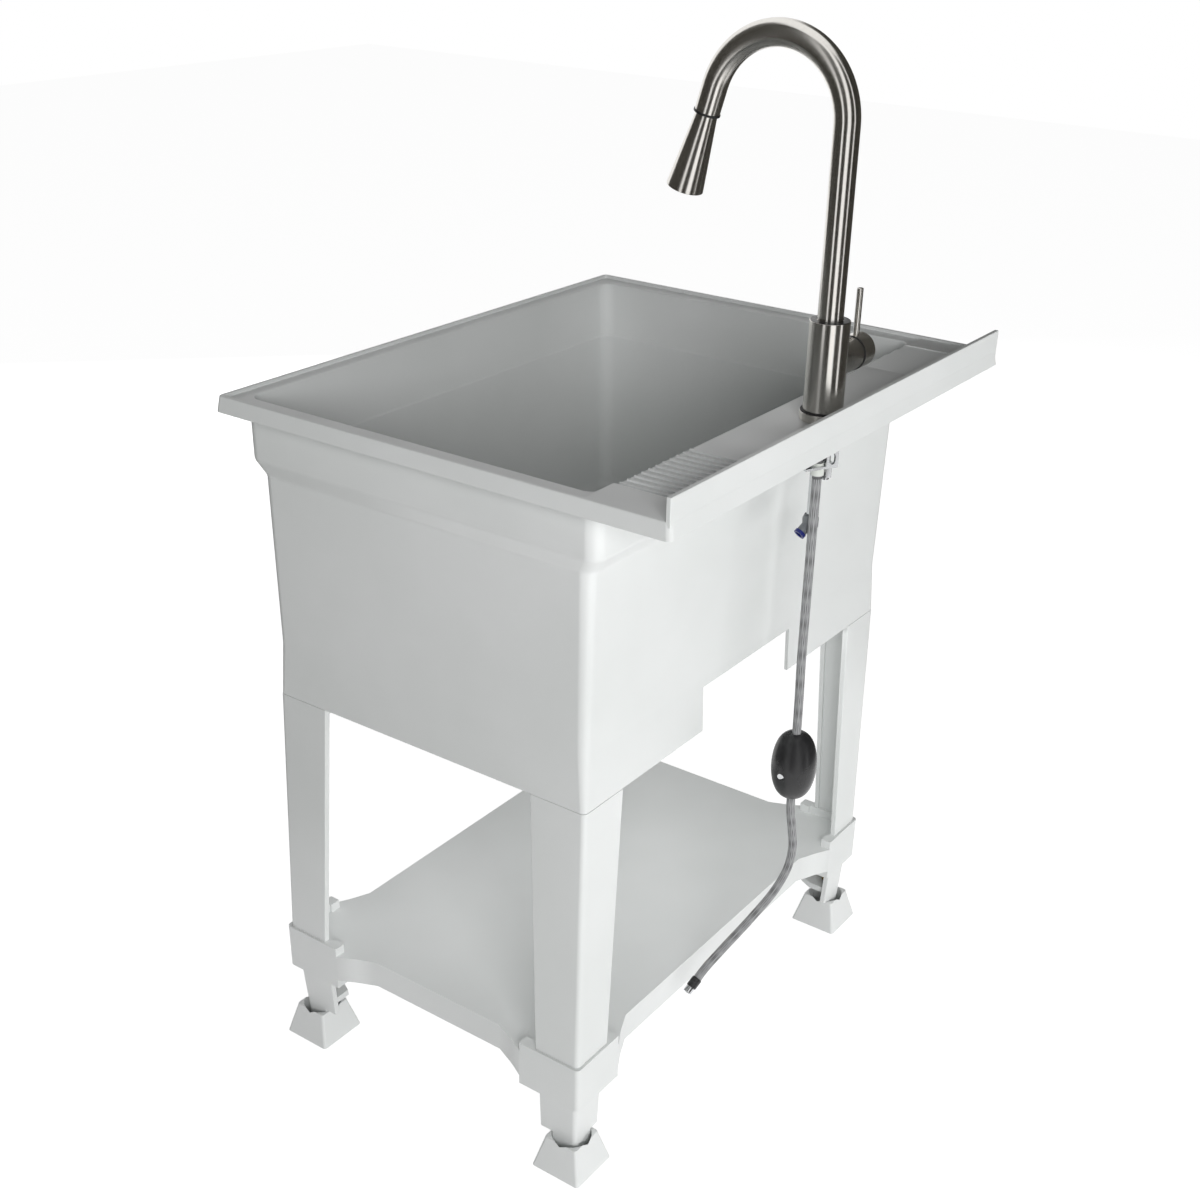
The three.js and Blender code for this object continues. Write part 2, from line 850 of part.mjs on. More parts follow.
const corners = [
  { name: 'near_back', side: 1, end: 1 },
  { name: 'near_front', side: 1, end: -1 },
  { name: 'far_front', side: -1, end: -1 },
  { name: 'far_back', side: -1, end: 1 },
];

function shelf() {
  const top = area(shelfHalfWidth, shelfY - shelfHalfDepth, shelfY + shelfHalfDepth);
  const tray = toSolid(prism(roundedRect(top, legCorner / 2), shelfUnder, shelfTop));
  const inside = roundedRect(inset(top, shelfWall), legCorner / 2 - CUT);
  const under = toSolid(prism(inside, shelfUnder - CUT, shelfTop - shelfWall));
  const pieces = [tray.subtract(under)];
  for (const x of [-shelfRibX, shelfRibX]) {
    const low = shelfUnder + shelfRibLift;
    const [x0, x1] = [x - shelfRibHalf, x + shelfRibHalf];
    pieces.push(box(x0, x1, top.front + CUT, top.back - CUT, low, shelfTop - CUT));
  }
  const slots = [];
  const hollows = [];
  for (const { side, end } of corners) {
    pieces.push(...shelfCorner(side, end), stub(side, end));
    slots.push(legSolid(side, end, legBottom - GAP, socketTop + CUT, GAP));
    hollows.push(cornerHollow(side, end));
  }
  return cutAll(unite(pieces), [...slots, ...hollows]);
}

// ---------- feet ----------

function foot() {
  const block = loft([
    [glideProud, area(footHalf, -footHalf, footHalf), footCorner],
    [footHeight, area(footTopHalf, -footTopHalf, footTopHalf), footCorner],
  ]);
  return cutAll(block, [
    rod(0, 0, footBore, footFloor, footHeight + CUT, 24),
    rod(0, 0, glideRadius + GAP, 0, glideHeight + GAP, 24),
  ]);
}

function footScrew() {
  const low = footFloor + GAP;
  const high = low + screwLength;
  return turned([
    [0, low],
    [screwHead, low],
    [screwHead, low + screwHeadHeight],
    [screwRadius, low + screwHeadHeight + 1],
    [screwRadius, high - 1],
    [screwRadius - 1, high],
    [0, high],
  ], 16);
}

function footInsert() {
  const low = webHeight - GAP - insertFlange;
  return turned([
    [screwRadius + GAP, low],
    [insertRadius + insertFlange, low],
    [insertRadius + insertFlange, low + insertFlange],
    [insertRadius, low + insertFlange],
    [insertRadius, low + insertLength],
    [screwRadius + GAP, low + insertLength],
  ], 16);
}

function footGlide() {
  return turned([
    [0, 0],
    [glideRadius - 1, 0],
    [glideRadius, 1],
    [glideRadius, glideHeight],
    [0, glideHeight],
  ]);
}

// ---------- faucet ----------

// Matrix that lays a solid turned round Z along -X, from the faucet's axis outwards.
const sideways = new THREE.Matrix4()
  .makeTranslation(0, faucetY, controlZ)
  .multiply(new THREE.Matrix4().makeRotationY(-Math.PI / 2));

function ballAt(radius, sides = 32) {
  const geometry = new THREE.SphereGeometry(radius, sides, sides / 2);
  geometry.rotateX(Math.PI / 2);
  return shifted(toSolid(geometry), 0, 0, controlPivot);
}

// Holes for the hose, the stud and the outlet tube.
function bracketHoles(low, high, hoseHole = hoseRadius + CUT) {
  return [
    rod(0, faucetY, hoseHole, low, high),
    rod(studX, faucetY + studY, studRadius + GAP, low, high, 16),
    rod(outletX, faucetY + outletY, outletRadius + GAP, low, high),
  ];
}

function faucetFlange() {
  const high = flangeZ + flangeHeight;
  const disc = turned([
    [0, flangeZ],
    [flangeRadius, flangeZ],
    [flangeRadius, high - flangeEdge],
    [flangeRadius - flangeEdge, high],
    [0, high],
  ], 32);
  return cutAll(shifted(disc, 0, faucetY, 0), bracketHoles(flangeZ - CUT, high + CUT));
}

function faucetSeal() {
  const high = sealZ + sealHeight;
  const disc = rod(0, faucetY, flangeRadius - flangeEdge, sealZ, high, 32);
  return cutAll(disc, bracketHoles(sealZ - CUT, high + CUT));
}

function faucetBody() {
  const column = rod(0, faucetY, bodyRadius, bodyZ, bodyTop, 32);
  const housing = rod(0, 0, housingRadius, bodyBore, capEnd, 36);
  const arm = moved(housing.intersect(ballAt(seamRadius)), sideways);
  const controlBore = rod(0, 0, cartridgeRadius + GAP, cartridgeStart - GAP, capEnd, 36);
  const floor = bodyZ + bodyFloor;
  return cutAll(column.add(arm), [
    moved(controlBore, sideways),
    rod(0, faucetY, bodyBore, floor, bodyTop + CUT, 32),
    rod(0, faucetY, bushOuter + GAP, bodyTop - bushHeight, bodyTop + CUT, 32),
    rod(0, faucetY, bushLip + GAP, bodyTop - bushLipHeight, bodyTop + CUT, 32),
    rod(0, faucetY, hoseRadius + CUT, bodyZ - CUT, floor + CUT),
    rod(studX, faucetY + studY, studRadius + GAP, bodyZ - CUT, studTop + GAP, 16),
    rod(outletX, faucetY + outletY, outletRadius + GAP, bodyZ - CUT, studTop + GAP),
  ]);
}

function swivelBush() {
  const low = bodyTop - bushHeight + GAP;
  const lip = bodyTop - bushLipHeight + GAP;
  const high = bodyTop + bushProud;
  return shifted(turned([
    [bushInner, low],
    [bushOuter, low],
    [bushOuter, lip],
    [bushLip, lip],
    [bushLip, high],
    [bushInner, high],
  ], 32), 0, faucetY, 0);
}

function lowerBush() {
  const low = spoutFoot + lowerBushLift;
  const ring = tubeProfile(bushInner, bodyBore - GAP, low, low + lowerBushHeight);
  return shifted(turned(ring, 32), 0, faucetY, 0);
}

// The spout's centre line: up from a start height, over the arch towards -Y, and down its nose.
class SpoutLine extends THREE.Curve {
  constructor(start, nose) {
    super();
    this.rise = spoutArcHeight - start;
    this.start = start;
    this.arch = (spoutArcRadius * spoutArcAngle * Math.PI) / 180;
    this.total = this.rise + this.arch + nose;
  }

  getPoint(t) {
    const run = t * this.total;
    if (run <= this.rise) {
      return new THREE.Vector3(0, faucetY, this.start + run);
    }
    const angle = Math.min((run - this.rise) / spoutArcRadius, (spoutArcAngle * Math.PI) / 180);
    const past = Math.max(run - this.rise - this.arch, 0);
    const y = faucetY - spoutArcRadius * (1 - Math.cos(angle)) - past * Math.sin(angle);
    const z = spoutArcHeight + spoutArcRadius * Math.sin(angle) + past * Math.cos(angle);
    return new THREE.Vector3(0, y, z);
  }
}

// A tube, or a full cord where inner is 0, along a curve. A circle gets two sides per segment.
function sweep(curve, outer, inner, steps, sides) {
  const shape = new THREE.Shape();
  shape.absarc(0, 0, outer, 0, Math.PI * 2);
  if (inner > 0) {
    const hole = new THREE.Path();
    hole.absarc(0, 0, inner, 0, Math.PI * 2, true);
    shape.holes.push(hole);
  }
  const settings = { steps, extrudePath: curve, curveSegments: sides / 2 };
  return toSolid(new THREE.ExtrudeGeometry(shape, settings));
}

function spoutTube() {
  return sweep(new SpoutLine(spoutFoot, spoutNose), spoutRadius, spoutRadius - spoutWall, 22, 16);
}

function hoseInSpout() {
  return sweep(new SpoutLine(hoseStart, 0), hoseRadius, 0, 26, 8);
}

const noseAngle = (spoutArcAngle * Math.PI) / 180;
const noseDirection = new THREE.Vector3(0, -Math.sin(noseAngle), Math.cos(noseAngle));
const noseEnd = new SpoutLine(spoutFoot, spoutNose).getPoint(1);

// Matrix that lays a solid turned round Z along the nose, with z = 0 at the spout's end.
const alongNose = new THREE.Matrix4()
  .makeTranslation(noseEnd.x, noseEnd.y, noseEnd.z)
  .multiply(new THREE.Matrix4().makeRotationFromQuaternion(
    new THREE.Quaternion().setFromUnitVectors(new THREE.Vector3(0, 0, 1), noseDirection),
  ));

function spoutEndRing() {
  const ring = tubeProfile(headTop + GAP, endRingRadius, GAP, GAP + endRingHeight);
  return moved(turned(ring, 32), alongNose);
}

const headStart = 2 * GAP + endRingHeight;

function sprayHead() {
  const end = headStart + headLength;
  const neck = spoutRadius - spoutWall - CUT;
  const shell = turned([
    [0, -neckLength],
    [neck, -neckLength],
    [neck, headStart],
    [headTop, headStart],
    [headBottom - 0.6, end - 5],
    [headBottom, end],
    [headBottom - headWall, end],
    [headBottom - headWall, end - nozzleThickness - 2],
    [neck - headWall, headStart + 8],
    [neck - headWall, 4 - neckLength],
    [0, 4 - neckLength],
  ], 28);
  return moved(shell, alongNose);
}

function sprayNozzle() {
  const end = headStart + headLength - 1.2;
  const disc = turned([
    [0, end - nozzleThickness],
    [headBottom - headWall - GAP, end - nozzleThickness],
    [headBottom - headWall - GAP, end - 1],
    [headBottom - headWall - 2, end],
    [0, end],
  ], 28);
  return moved(disc, alongNose);
}

function hoseStub() {
  return moved(turned([
    [0, GAP - spoutNose],
    [hoseRadius, GAP - spoutNose],
    [hoseRadius, -neckLength - GAP],
    [0, -neckLength - GAP],
  ], 16), alongNose);
}

// ---------- side control ----------

function cartridge() {
  const end = cartridgeStart + 3;
  return moved(turned([
    [0, cartridgeStart],
    [cartridgeRadius, cartridgeStart],
    [cartridgeRadius, cartridgeEnd],
    [cartridgeBore, cartridgeEnd],
    [cartridgeBore, end],
    [0, end],
  ], 32), sideways);
}

function cartridgeNut() {
  const low = cartridgeEnd + GAP;
  return moved(turned(tubeProfile(rotorRadius - 0.5, cartridgeRadius, low, low + 3), 32), sideways);
}

function cartridgeRotor() {
  const low = cartridgeStart + 3 + GAP;
  const barrel = turned([[0, low], [rotorRadius, low], [rotorRadius, rotorEnd], [0, rotorEnd]], 28);
  const half = stemRadius + GAP;
  const slot = box(-rotorRadius - CUT, stemRadius + 4, -half, half, low + 1.7, rotorEnd + CUT);
  const pin = new THREE.CylinderGeometry(stemPin + GAP, stemPin + GAP, 4 * rotorRadius, 16);
  const pinHole = shifted(toSolid(pin), 0, 0, controlPivot);
  return moved(cutAll(barrel, [slot, pinHole]), sideways);
}

function leverStem() {
  const low = controlPivot - 4;
  const shaft = turned([[0, low], [stemRadius, low], [stemRadius, stemEnd], [0, stemEnd]], 16);
  const pin = new THREE.CylinderGeometry(stemPin, stemPin, 2 * stemPinLength, 16);
  return moved(shaft.add(shifted(toSolid(pin), 0, 0, controlPivot)), sideways);
}

function handleCap() {
  const drum = turned([
    [0, controlPivot],
    [capRadius, controlPivot],
    [capRadius, capEnd - 1],
    [capRadius - 1, capEnd],
    [0, capEnd],
  ], 32);
  const socket = rod(0, 0, stemRadius + GAP, controlPivot, stemEnd + GAP, 16);
  const cap = moved(cutAll(drum, [ballAt(seamRadius + GAP), socket]), sideways);
  const low = controlZ - capRadius - CUT;
  const high = controlZ + capRadius + CUT;
  return cutAll(cap, [
    rod(-leverAt, faucetY, leverRadius + GAP, leverSeat - GAP, high, 16),
    rod(-leverAt, faucetY, setScrewRadius + GAP, low, controlZ, 12),
  ]);
}

function leverRod() {
  return shifted(turned([
    [0, leverSeat],
    [leverRadius, leverSeat],
    [leverRadius, leverTop - 1],
    [leverRadius - 1, leverTop],
    [0, leverTop],
  ], 16), -leverAt, faucetY, 0);
}

function setScrew() {
  const low = controlZ - capRadius + CUT;
  return rod(-leverAt, faucetY, setScrewRadius, low, controlZ - stemRadius - GAP, 12);
}

// ---------- fixing under the deck ----------

const bracketMatrix = new THREE.Matrix4()
  .makeTranslation(0, faucetY, 0)
  .multiply(new THREE.Matrix4().makeRotationZ((-bracketTurn * Math.PI) / 180));

// A floor with a tall wall behind it, and in front of the stud a tab with an oval slot.
function bracket() {
  const wide = bracketHalf;
  const floorTop = bracketHeight + bracketWall;
  const wallFront = bracketWall - bracketAhead;
  const tabBack = bracketBehind - bracketWall;
  const floor = box(-wide, wide, -bracketAhead, bracketBehind, bracketHeight, floorTop);
  const wall = box(-wide, wide, -bracketAhead, wallFront, bracketHeight, bracketTop);
  const tab = box(-wide, -tabInset, tabBack, bracketBehind, bracketHeight, bracketTop);
  const slot = new THREE.Shape();
  const middle = -(wide + tabInset) / 2;
  const height = bracketHeight + slotRise;
  const reach = slotLength / 2 - slotHalf;
  slot.absarc(middle, height + reach, slotHalf, 0, Math.PI);
  slot.absarc(middle, height - reach, slotHalf, Math.PI, Math.PI * 2);
  const cutter = prism(slot, 0, 3 * bracketWall);
  cutter.rotateX(Math.PI / 2);
  cutter.translate(0, bracketBehind + bracketWall, 0);
  const plates = unite([floor, wall, tab.subtract(toSolid(cutter))]);
  const holes = bracketHoles(bracketHeight - CUT, floorTop + CUT, hoseBushNeck + GAP);
  return cutAll(moved(plates, bracketMatrix), holes);
}

function bracketGasket() {
  const reach = deckHole + gasketMargin;
  const low = bracketTop + GAP;
  const high = deckUnder - GAP;
  const plate = box(-reach, reach, faucetY - reach, faucetY + reach, low, high);
  return plate.subtract(rod(0, faucetY, deckHole - CUT, low - CUT, high + CUT, 32));
}

function hoseBush() {
  const seat = bracketHeight - GAP;
  const high = bracketHeight + bracketWall + hoseBushRise;
  return shifted(turned([
    [hoseRadius + GAP, seat - hoseBushLip],
    [hoseBushRadius, seat - hoseBushLip],
    [hoseBushRadius, seat],
    [hoseBushNeck, seat],
    [hoseBushNeck, high],
    [hoseRadius + GAP, high],
  ]), 0, faucetY, 0);
}

function faucetStud() {
  return rod(studX, faucetY + studY, studRadius, studBottom, studTop, 16);
}

function studNut() {
  const across = nutFlats / Math.sqrt(3);
  const high = bracketHeight - GAP;
  const low = high - nutHeight;
  const nut = rod(studX, faucetY + studY, across, low, high, 6);
  return nut.subtract(rod(studX, faucetY + studY, studRadius + GAP, low - CUT, high + CUT, 16));
}

function outletTube() {
  return rod(outletX, faucetY + outletY, outletRadius, outletBottom, studTop);
}

const spigotMatrix = new THREE.Matrix4()
  .makeTranslation(outletX, faucetY + outletY, outletBottom)
  .multiply(new THREE.Matrix4().makeRotationZ((-spigotTurn * Math.PI) / 180))
  .multiply(new THREE.Matrix4().makeRotationY(((90 + spigotAngle) * Math.PI) / 180));

function outletFitting() {
  const low = outletBottom - collarHeight / 2;
  const collar = shifted(turned([
    [0, low],
    [collarRadius - 2, low],
    [collarRadius, low + 4],
    [collarRadius, low + collarHeight - 4],
    [collarRadius - 2, low + collarHeight],
    [0, low + collarHeight],
  ], 24), outletX, faucetY + outletY, 0);
  const spigot = moved(rod(0, 0, spigotRadius, 0, spigotLength), spigotMatrix);
  const high = low + collarHeight + CUT;
  const bore = rod(outletX, faucetY + outletY, outletRadius + GAP, outletBottom - GAP, high);
  return collar.add(spigot).subtract(bore);
}

function outletRing() {
  const low = spigotLength + GAP;
  const ring = tubeProfile(spigotRadius - 2, spigotRadius + 0.8, low, low + outletRingHeight);
  return moved(turned(ring, 20), spigotMatrix);
}

// ---------- hanging hose ----------

const routeStart = new THREE.Vector3(0, faucetY, hoseStart - GAP);
const route = [
  routeStart,
  ...hoseRoute.map(([x, y, z]) => new THREE.Vector3(x, faucetY + y, hoseStart + z)),
];
const routeEnd = route[route.length - 1];
const routeDirection = routeEnd.clone().sub(route[route.length - 2]).normalize();

function hangingHose() {
  return sweep(new THREE.CatmullRomCurve3(route, false, 'centripetal'), hoseRadius, 0, 38, 8);
}

const hoseEndMatrix = new THREE.Matrix4()
  .makeTranslation(routeEnd.x, routeEnd.y, routeEnd.z)
  .multiply(new THREE.Matrix4().makeRotationFromQuaternion(
    new THREE.Quaternion().setFromUnitVectors(new THREE.Vector3(0, 0, 1), routeDirection),
  ));

function hoseSleeve() {
  const ring = tubeProfile(ferruleBore, sleeveRadius, GAP, GAP + sleeveLength);
  return moved(turned(ring, 20), hoseEndMatrix);
}

function hoseFerrule() {
  const low = 2 * GAP + sleeveLength;
  const ring = tubeProfile(ferruleBore, ferruleRadius, low, low + ferruleLength);
  return moved(turned(ring, 20), hoseEndMatrix);
}

const weightMatrix = new THREE.Matrix4()
  .makeTranslation(weightX, faucetY, 0)
  .multiply(new THREE.Matrix4().makeRotationZ((weightTurn * Math.PI) / 180));

// Lays the screw across the split, with z = 0 at its tip.
const weightScrewLie = new THREE.Matrix4()
  .makeTranslation(-weightScrewReach, -weightScrewOff, weightScrewZ)
  .multiply(new THREE.Matrix4().makeRotationY(Math.PI / 2));

function weightHalf(side) {
  const middle = (weightBottom + weightTop) / 2;
  const tall = (weightTop - weightBottom) / 2;
  const profile = [[0, weightBottom]];
  for (let angle = -70; angle <= 70; angle += 20) {
    const turn = (angle * Math.PI) / 180;
    profile.push([weightRadius * Math.cos(turn) ** 0.7, middle + tall * Math.sin(turn)]);
  }
  profile.push([0, weightTop]);
  const egg = turned(profile, 20);
  const reach = weightRadius + CUT;
  const x0 = side > 0 ? GAP / 2 : -reach;
  const x1 = side > 0 ? reach : -GAP / 2;
  const half = egg.intersect(box(x0, x1, -reach, reach, weightBottom, weightTop));
  const shank = rod(0, 0, weightScrewRadius + GAP, -GAP, 2 * weightRadius, 12);
  const recessFloor = weightScrewReach + weightScrewSeat;
  const recess = rod(0, 0, weightHeadRadius + GAP, recessFloor, recessFloor + weightRadius, 16);
  return moved(cutAll(half, [
    rod(0, 0, hoseRadius + weightGrip, weightBottom - CUT, weightTop + CUT),
    moved(shank.add(recess), weightScrewLie),
  ]), weightMatrix);
}

function weightScrew() {
  const length = weightScrewSeat + weightScrewReach;
  const screw = turned([
    [0, 0],
    [weightScrewRadius, 0],
    [weightScrewRadius, length + GAP],
    [weightHeadRadius, length + GAP],
    [weightHeadRadius, length + GAP + 2],
    [0, length + GAP + 2],
  ], 16);
  return moved(moved(screw, weightScrewLie), weightMatrix);
}

// ---------- assembly ----------

const group = new THREE.Group();

function place(name, solid, colour, x = 0, y = 0) {
  const mesh = new THREE.Mesh(toGeometry(solid), new THREE.MeshStandardMaterial(colours[colour]));
  mesh.name = name;
  mesh.position.set(x, y, 0);
  group.add(mesh);
}

place('tub', tub(), 'white');
place('shelf', shelf(), 'white');
for (const { name, side, end } of corners) {
  const [x, y] = footCentre(side, end);
  place(`leg_${name}`, leg(side, end), 'white');
  place(`foot_${name}`, foot(), 'white', x, y);
  place(`foot_screw_${name}`, footScrew(), 'bright', x, y);
  place(`foot_insert_${name}`, footInsert(), 'brass', x, y);
  place(`foot_glide_${name}`, footGlide(), 'rubber', x, y);
}
place('drain_body', drainBody(), 'bright');
place('drain_gasket', drainGasket(), 'rubber');
place('drain_locknut', drainLocknut(), 'nylon');
place('drain_basket', drainBasket(), 'bright');
place('faucet_flange', faucetFlange(), 'steel');
place('faucet_seal', faucetSeal(), 'rubber');
place('faucet_body', faucetBody(), 'steel');
place('swivel_bush', swivelBush(), 'black');
place('lower_bush', lowerBush(), 'nylon');
place('spout_tube', spoutTube(), 'steel');
place('spout_end_ring', spoutEndRing(), 'black');
place('spray_head', sprayHead(), 'steel');
place('spray_nozzle', sprayNozzle(), 'black');
place('hose_stub', hoseStub(), 'hose');
place('hose_in_spout', hoseInSpout(), 'hose');
place('cartridge', cartridge(), 'nylon');
place('cartridge_nut', cartridgeNut(), 'brass');
place('cartridge_rotor', cartridgeRotor(), 'nylon');
place('lever_stem', leverStem(), 'brass');
place('handle_cap', handleCap(), 'steel');
place('lever_rod', leverRod(), 'steel');
place('set_screw', setScrew(), 'bright');
place('bracket', bracket(), 'bright');
place('bracket_gasket', bracketGasket(), 'rubber');
place('hose_bush', hoseBush(), 'nylon');
place('faucet_stud', faucetStud(), 'bright');
place('stud_nut', studNut(), 'bright');
place('outlet_tube', outletTube(), 'bright');
place('outlet_fitting', outletFitting(), 'grey');
place('outlet_ring', outletRing(), 'blue');
place('hanging_hose', hangingHose(), 'hose');
place('hose_sleeve', hoseSleeve(), 'black');
place('hose_ferrule', hoseFerrule(), 'bright');
place('weight_half_front', weightHalf(1), 'black');
place('weight_half_rear', weightHalf(-1), 'black');
place('weight_screw', weightScrew(), 'bright');

export default group;
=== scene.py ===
# %% [markdown]
# # A utility laundry sink with a pull-down faucet
# The solids of the sink are already packed as a fixed frame, one node for each
# separate piece. This script gives every piece its finish, and it builds a
# fuller piece where the plain solid is too coarse to look right close up.
# Nothing in the frame is moved.

import math

import bmesh
import bpy
from mathutils import Matrix, Vector


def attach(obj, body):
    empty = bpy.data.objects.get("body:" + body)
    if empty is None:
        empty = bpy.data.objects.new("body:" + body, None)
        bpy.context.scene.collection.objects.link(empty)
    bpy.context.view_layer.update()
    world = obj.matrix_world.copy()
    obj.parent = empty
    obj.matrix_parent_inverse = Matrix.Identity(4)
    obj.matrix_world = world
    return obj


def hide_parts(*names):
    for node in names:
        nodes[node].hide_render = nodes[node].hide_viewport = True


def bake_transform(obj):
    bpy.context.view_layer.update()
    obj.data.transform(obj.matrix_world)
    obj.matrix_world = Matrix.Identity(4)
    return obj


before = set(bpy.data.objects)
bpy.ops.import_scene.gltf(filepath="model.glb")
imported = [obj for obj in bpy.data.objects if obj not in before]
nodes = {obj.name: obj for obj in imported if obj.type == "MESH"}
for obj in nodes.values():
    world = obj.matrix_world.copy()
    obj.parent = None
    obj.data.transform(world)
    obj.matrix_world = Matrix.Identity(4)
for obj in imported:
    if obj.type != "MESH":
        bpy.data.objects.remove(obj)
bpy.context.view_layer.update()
scene = bpy.context.scene

# %% [markdown]
# ## Camera
# The photograph was taken from behind the near side of the sink, from above
# the rim. Eye point, turn and lens were solved from the corners of the rim,
# the feet and the splash, at the size that was taken for the sink. The lens
# shift repeats the photograph's crop, so that upright edges lean alike.

# %% Place the camera
camera_data = bpy.data.cameras.new("camera")
camera = bpy.data.objects.new("camera", camera_data)
scene.collection.objects.link(camera)
camera_right = Vector((-0.5780, 0.8157, 0.0221))
camera_up = Vector((-0.3812, -0.2939, 0.8765))
camera_back = Vector((0.7215, 0.4982, 0.4809))
camera_eye = Vector((1.45435, 1.00433, 1.39935))
camera_turn = Matrix((camera_right, camera_up, camera_back)).transposed()
camera.matrix_world = Matrix.Translation(camera_eye) @ camera_turn.to_4x4()
camera_data.sensor_width = 36
camera_data.lens = 47.75
camera_data.shift_x = -0.0182
camera_data.shift_y = 0.0927
camera_data.clip_start = 0.05
camera_data.clip_end = 50
scene.camera = camera
print("camera at", tuple(round(x, 3) for x in camera_eye))

# %% [markdown]
# ## Helpers for building pieces
# All pieces are drawn in millimetres, and scaled to metres when they are
# finished. A piece can be modelled by hand, but here bmesh operators do it, so
# that every radius keeps its number. `finish` closes a mesh, turns its faces
# outwards and lets the piece ride on its body. Edges that turn by more than
# CRISP stay crisp in the shading, and a Weighted Normal modifier keeps large
# faces flat up to the narrow rounded strips along their edges.

# %% Finish a mesh as a piece
MM = 0.001
MERGE = 1e-4
CRISP = math.radians(50)
CORNER = math.radians(38)


def new_piece(bm, name, material):
    """Makes a bmesh an object of the scene with one material, and frees the bmesh."""
    mesh = bpy.data.meshes.new(name)
    bm.to_mesh(mesh)
    bm.free()
    mesh.materials.append(material)
    piece = bpy.data.objects.new(name, mesh)
    scene.collection.objects.link(piece)
    return piece


def finish(bm, name, body, material, replaces=(), flat=True):
    """Turns a bmesh in millimetres into an object of the sink. It rides on a body, if one is named."""
    bmesh.ops.remove_doubles(bm, verts=bm.verts, dist=MERGE)
    bmesh.ops.recalc_face_normals(bm, faces=bm.faces)
    bmesh.ops.scale(bm, vec=(MM, MM, MM), verts=bm.verts)
    for face in bm.faces:
        face.smooth = True
    for edge in bm.edges:
        edge.smooth = edge.is_manifold and edge.calc_face_angle() < CRISP
    piece = new_piece(bm, name, material)
    if flat:
        piece.modifiers.new("flat faces", "WEIGHTED_NORMAL").keep_sharp = True
    if body:
        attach(piece, body)
    if replaces:
        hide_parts(*replaces)
    print(f"{name}: {len(piece.data.polygons)} faces on {body}")
    return piece


# %% [markdown]
# Most edges of a moulded or machined piece are slightly rounded, and that
# narrow round edge is what catches the light. The Bevel operator makes it, on
# whichever edges are given.

# %% Round edges


def round_edges(bm, edges, width, segments=2):
    """Rounds edges, as the Bevel operator does."""
    given = {"offset": width, "offset_type": "OFFSET", "segments": segments, "profile": 0.5}
    bmesh.ops.bevel(bm, geom=list(edges), affect="EDGES", clamp_overlap=True, material=-1, **given)


def sharp_edges(bm, angle=CORNER):
    """The edges at which the surface turns by more than an angle."""
    return [edge for edge in bm.edges if edge.is_manifold and edge.calc_face_angle() > angle]


# %% [markdown]
# Three kinds of solid make or cut most pieces: a block, a round rod, and a
# profile that is spun round an axis. A spun solid also gets a UV map, which
# runs round it in turns and along it in metres, for the fine lines that
# turning leaves.

# %% Blocks, rods and spun solids
SPUN_CORNER = math.radians(25)
ORIGIN = (0, 0, 0)
UP = (0, 0, 1)


def block(low, high):
    """A box from corner to corner."""
    bm = bmesh.new()
    middle = [(a + b) / 2 for a, b in zip(low, high)]
    size = [b - a for a, b in zip(low, high)]
    matrix = Matrix.Translation(middle) @ Matrix.Diagonal((*size, 1))
    bmesh.ops.create_cube(bm, size=1.0, matrix=matrix)
    return bm


def rod(radius, low, high, where=Matrix(), sides=48, bm=None):
    """A round rod along Z, moved by a matrix."""
    bm = bm or bmesh.new()
    matrix = where @ Matrix.Translation((0, 0, (low + high) / 2))
    given = {"radius1": radius, "radius2": radius, "depth": high - low}
    bmesh.ops.create_cone(bm, cap_ends=True, segments=sides, matrix=matrix, **given)
    return bm


def ring_profile(bore, radius, low, high):
    """The section of a ring, as points (radius, height)."""
    return [(bore, low), (radius, low), (radius, high), (bore, high)]


def spun(profile, soft=0.0, where=Matrix(), sides=64, turn=math.tau):
    """A solid spun round Z from points (radius, height), moved by a matrix."""
    whole = turn == math.tau
    bm = bmesh.new()
    row = [bm.verts.new((radius, 0, height)) for radius, height in profile]
    parts = row if whole else [*row, bm.faces.new(row)]
    closed = [*row, row[0]] if whole and profile[0][0] != 0 else row
    edges = [bm.edges.get(pair) or bm.edges.new(pair) for pair in zip(closed, closed[1:])]
    bmesh.ops.spin(bm, geom=parts + edges, cent=ORIGIN, axis=UP, angle=turn, steps=sides, use_merge=whole)
    bmesh.ops.remove_doubles(bm, verts=bm.verts, dist=MERGE)
    bmesh.ops.recalc_face_normals(bm, faces=bm.faces)
    if soft:
        round_edges(bm, sharp_edges(bm, SPUN_CORNER), soft)
    uv = bm.loops.layers.uv.new("along")
    for face in bm.faces:
        middle = face.calc_center_median()
        middle_turn = math.atan2(middle.y, middle.x) / math.tau
        for loop in face.loops:
            at = loop.vert.co
            round_turn = math.atan2(at.y, at.x) / math.tau
            round_turn += round(middle_turn - round_turn)
            loop[uv].uv = (round_turn, at.z * MM)
    bm.transform(where)
    return bm


# %% [markdown]
# The Boolean modifier joins solids or cuts one from another. It runs on two
# passing objects, and its result goes back into the bmesh.

# %% Join and cut solids


def combine(bm, other, operation="UNION"):
    """Joins another solid to a solid, or cuts it away with DIFFERENCE. The other is freed."""
    solids = []
    for source in (bm, other):
        solids.append(bpy.data.objects.new("solid", bpy.data.meshes.new("solid")))
        source.to_mesh(solids[-1].data)
        scene.collection.objects.link(solids[-1])
    whole, part = solids
    join = whole.modifiers.new("join", "BOOLEAN")
    join.operation = operation
    join.solver = "EXACT"
    join.object = part
    view_state = bpy.context.evaluated_depsgraph_get()
    result = bpy.data.meshes.new_from_object(whole.evaluated_get(view_state))
    bm.clear()
    bm.from_mesh(result)
    other.free()
    bpy.data.meshes.remove(result)
    for solid in solids:
        mesh = solid.data
        bpy.data.objects.remove(solid)
        bpy.data.meshes.remove(mesh)
    return bm


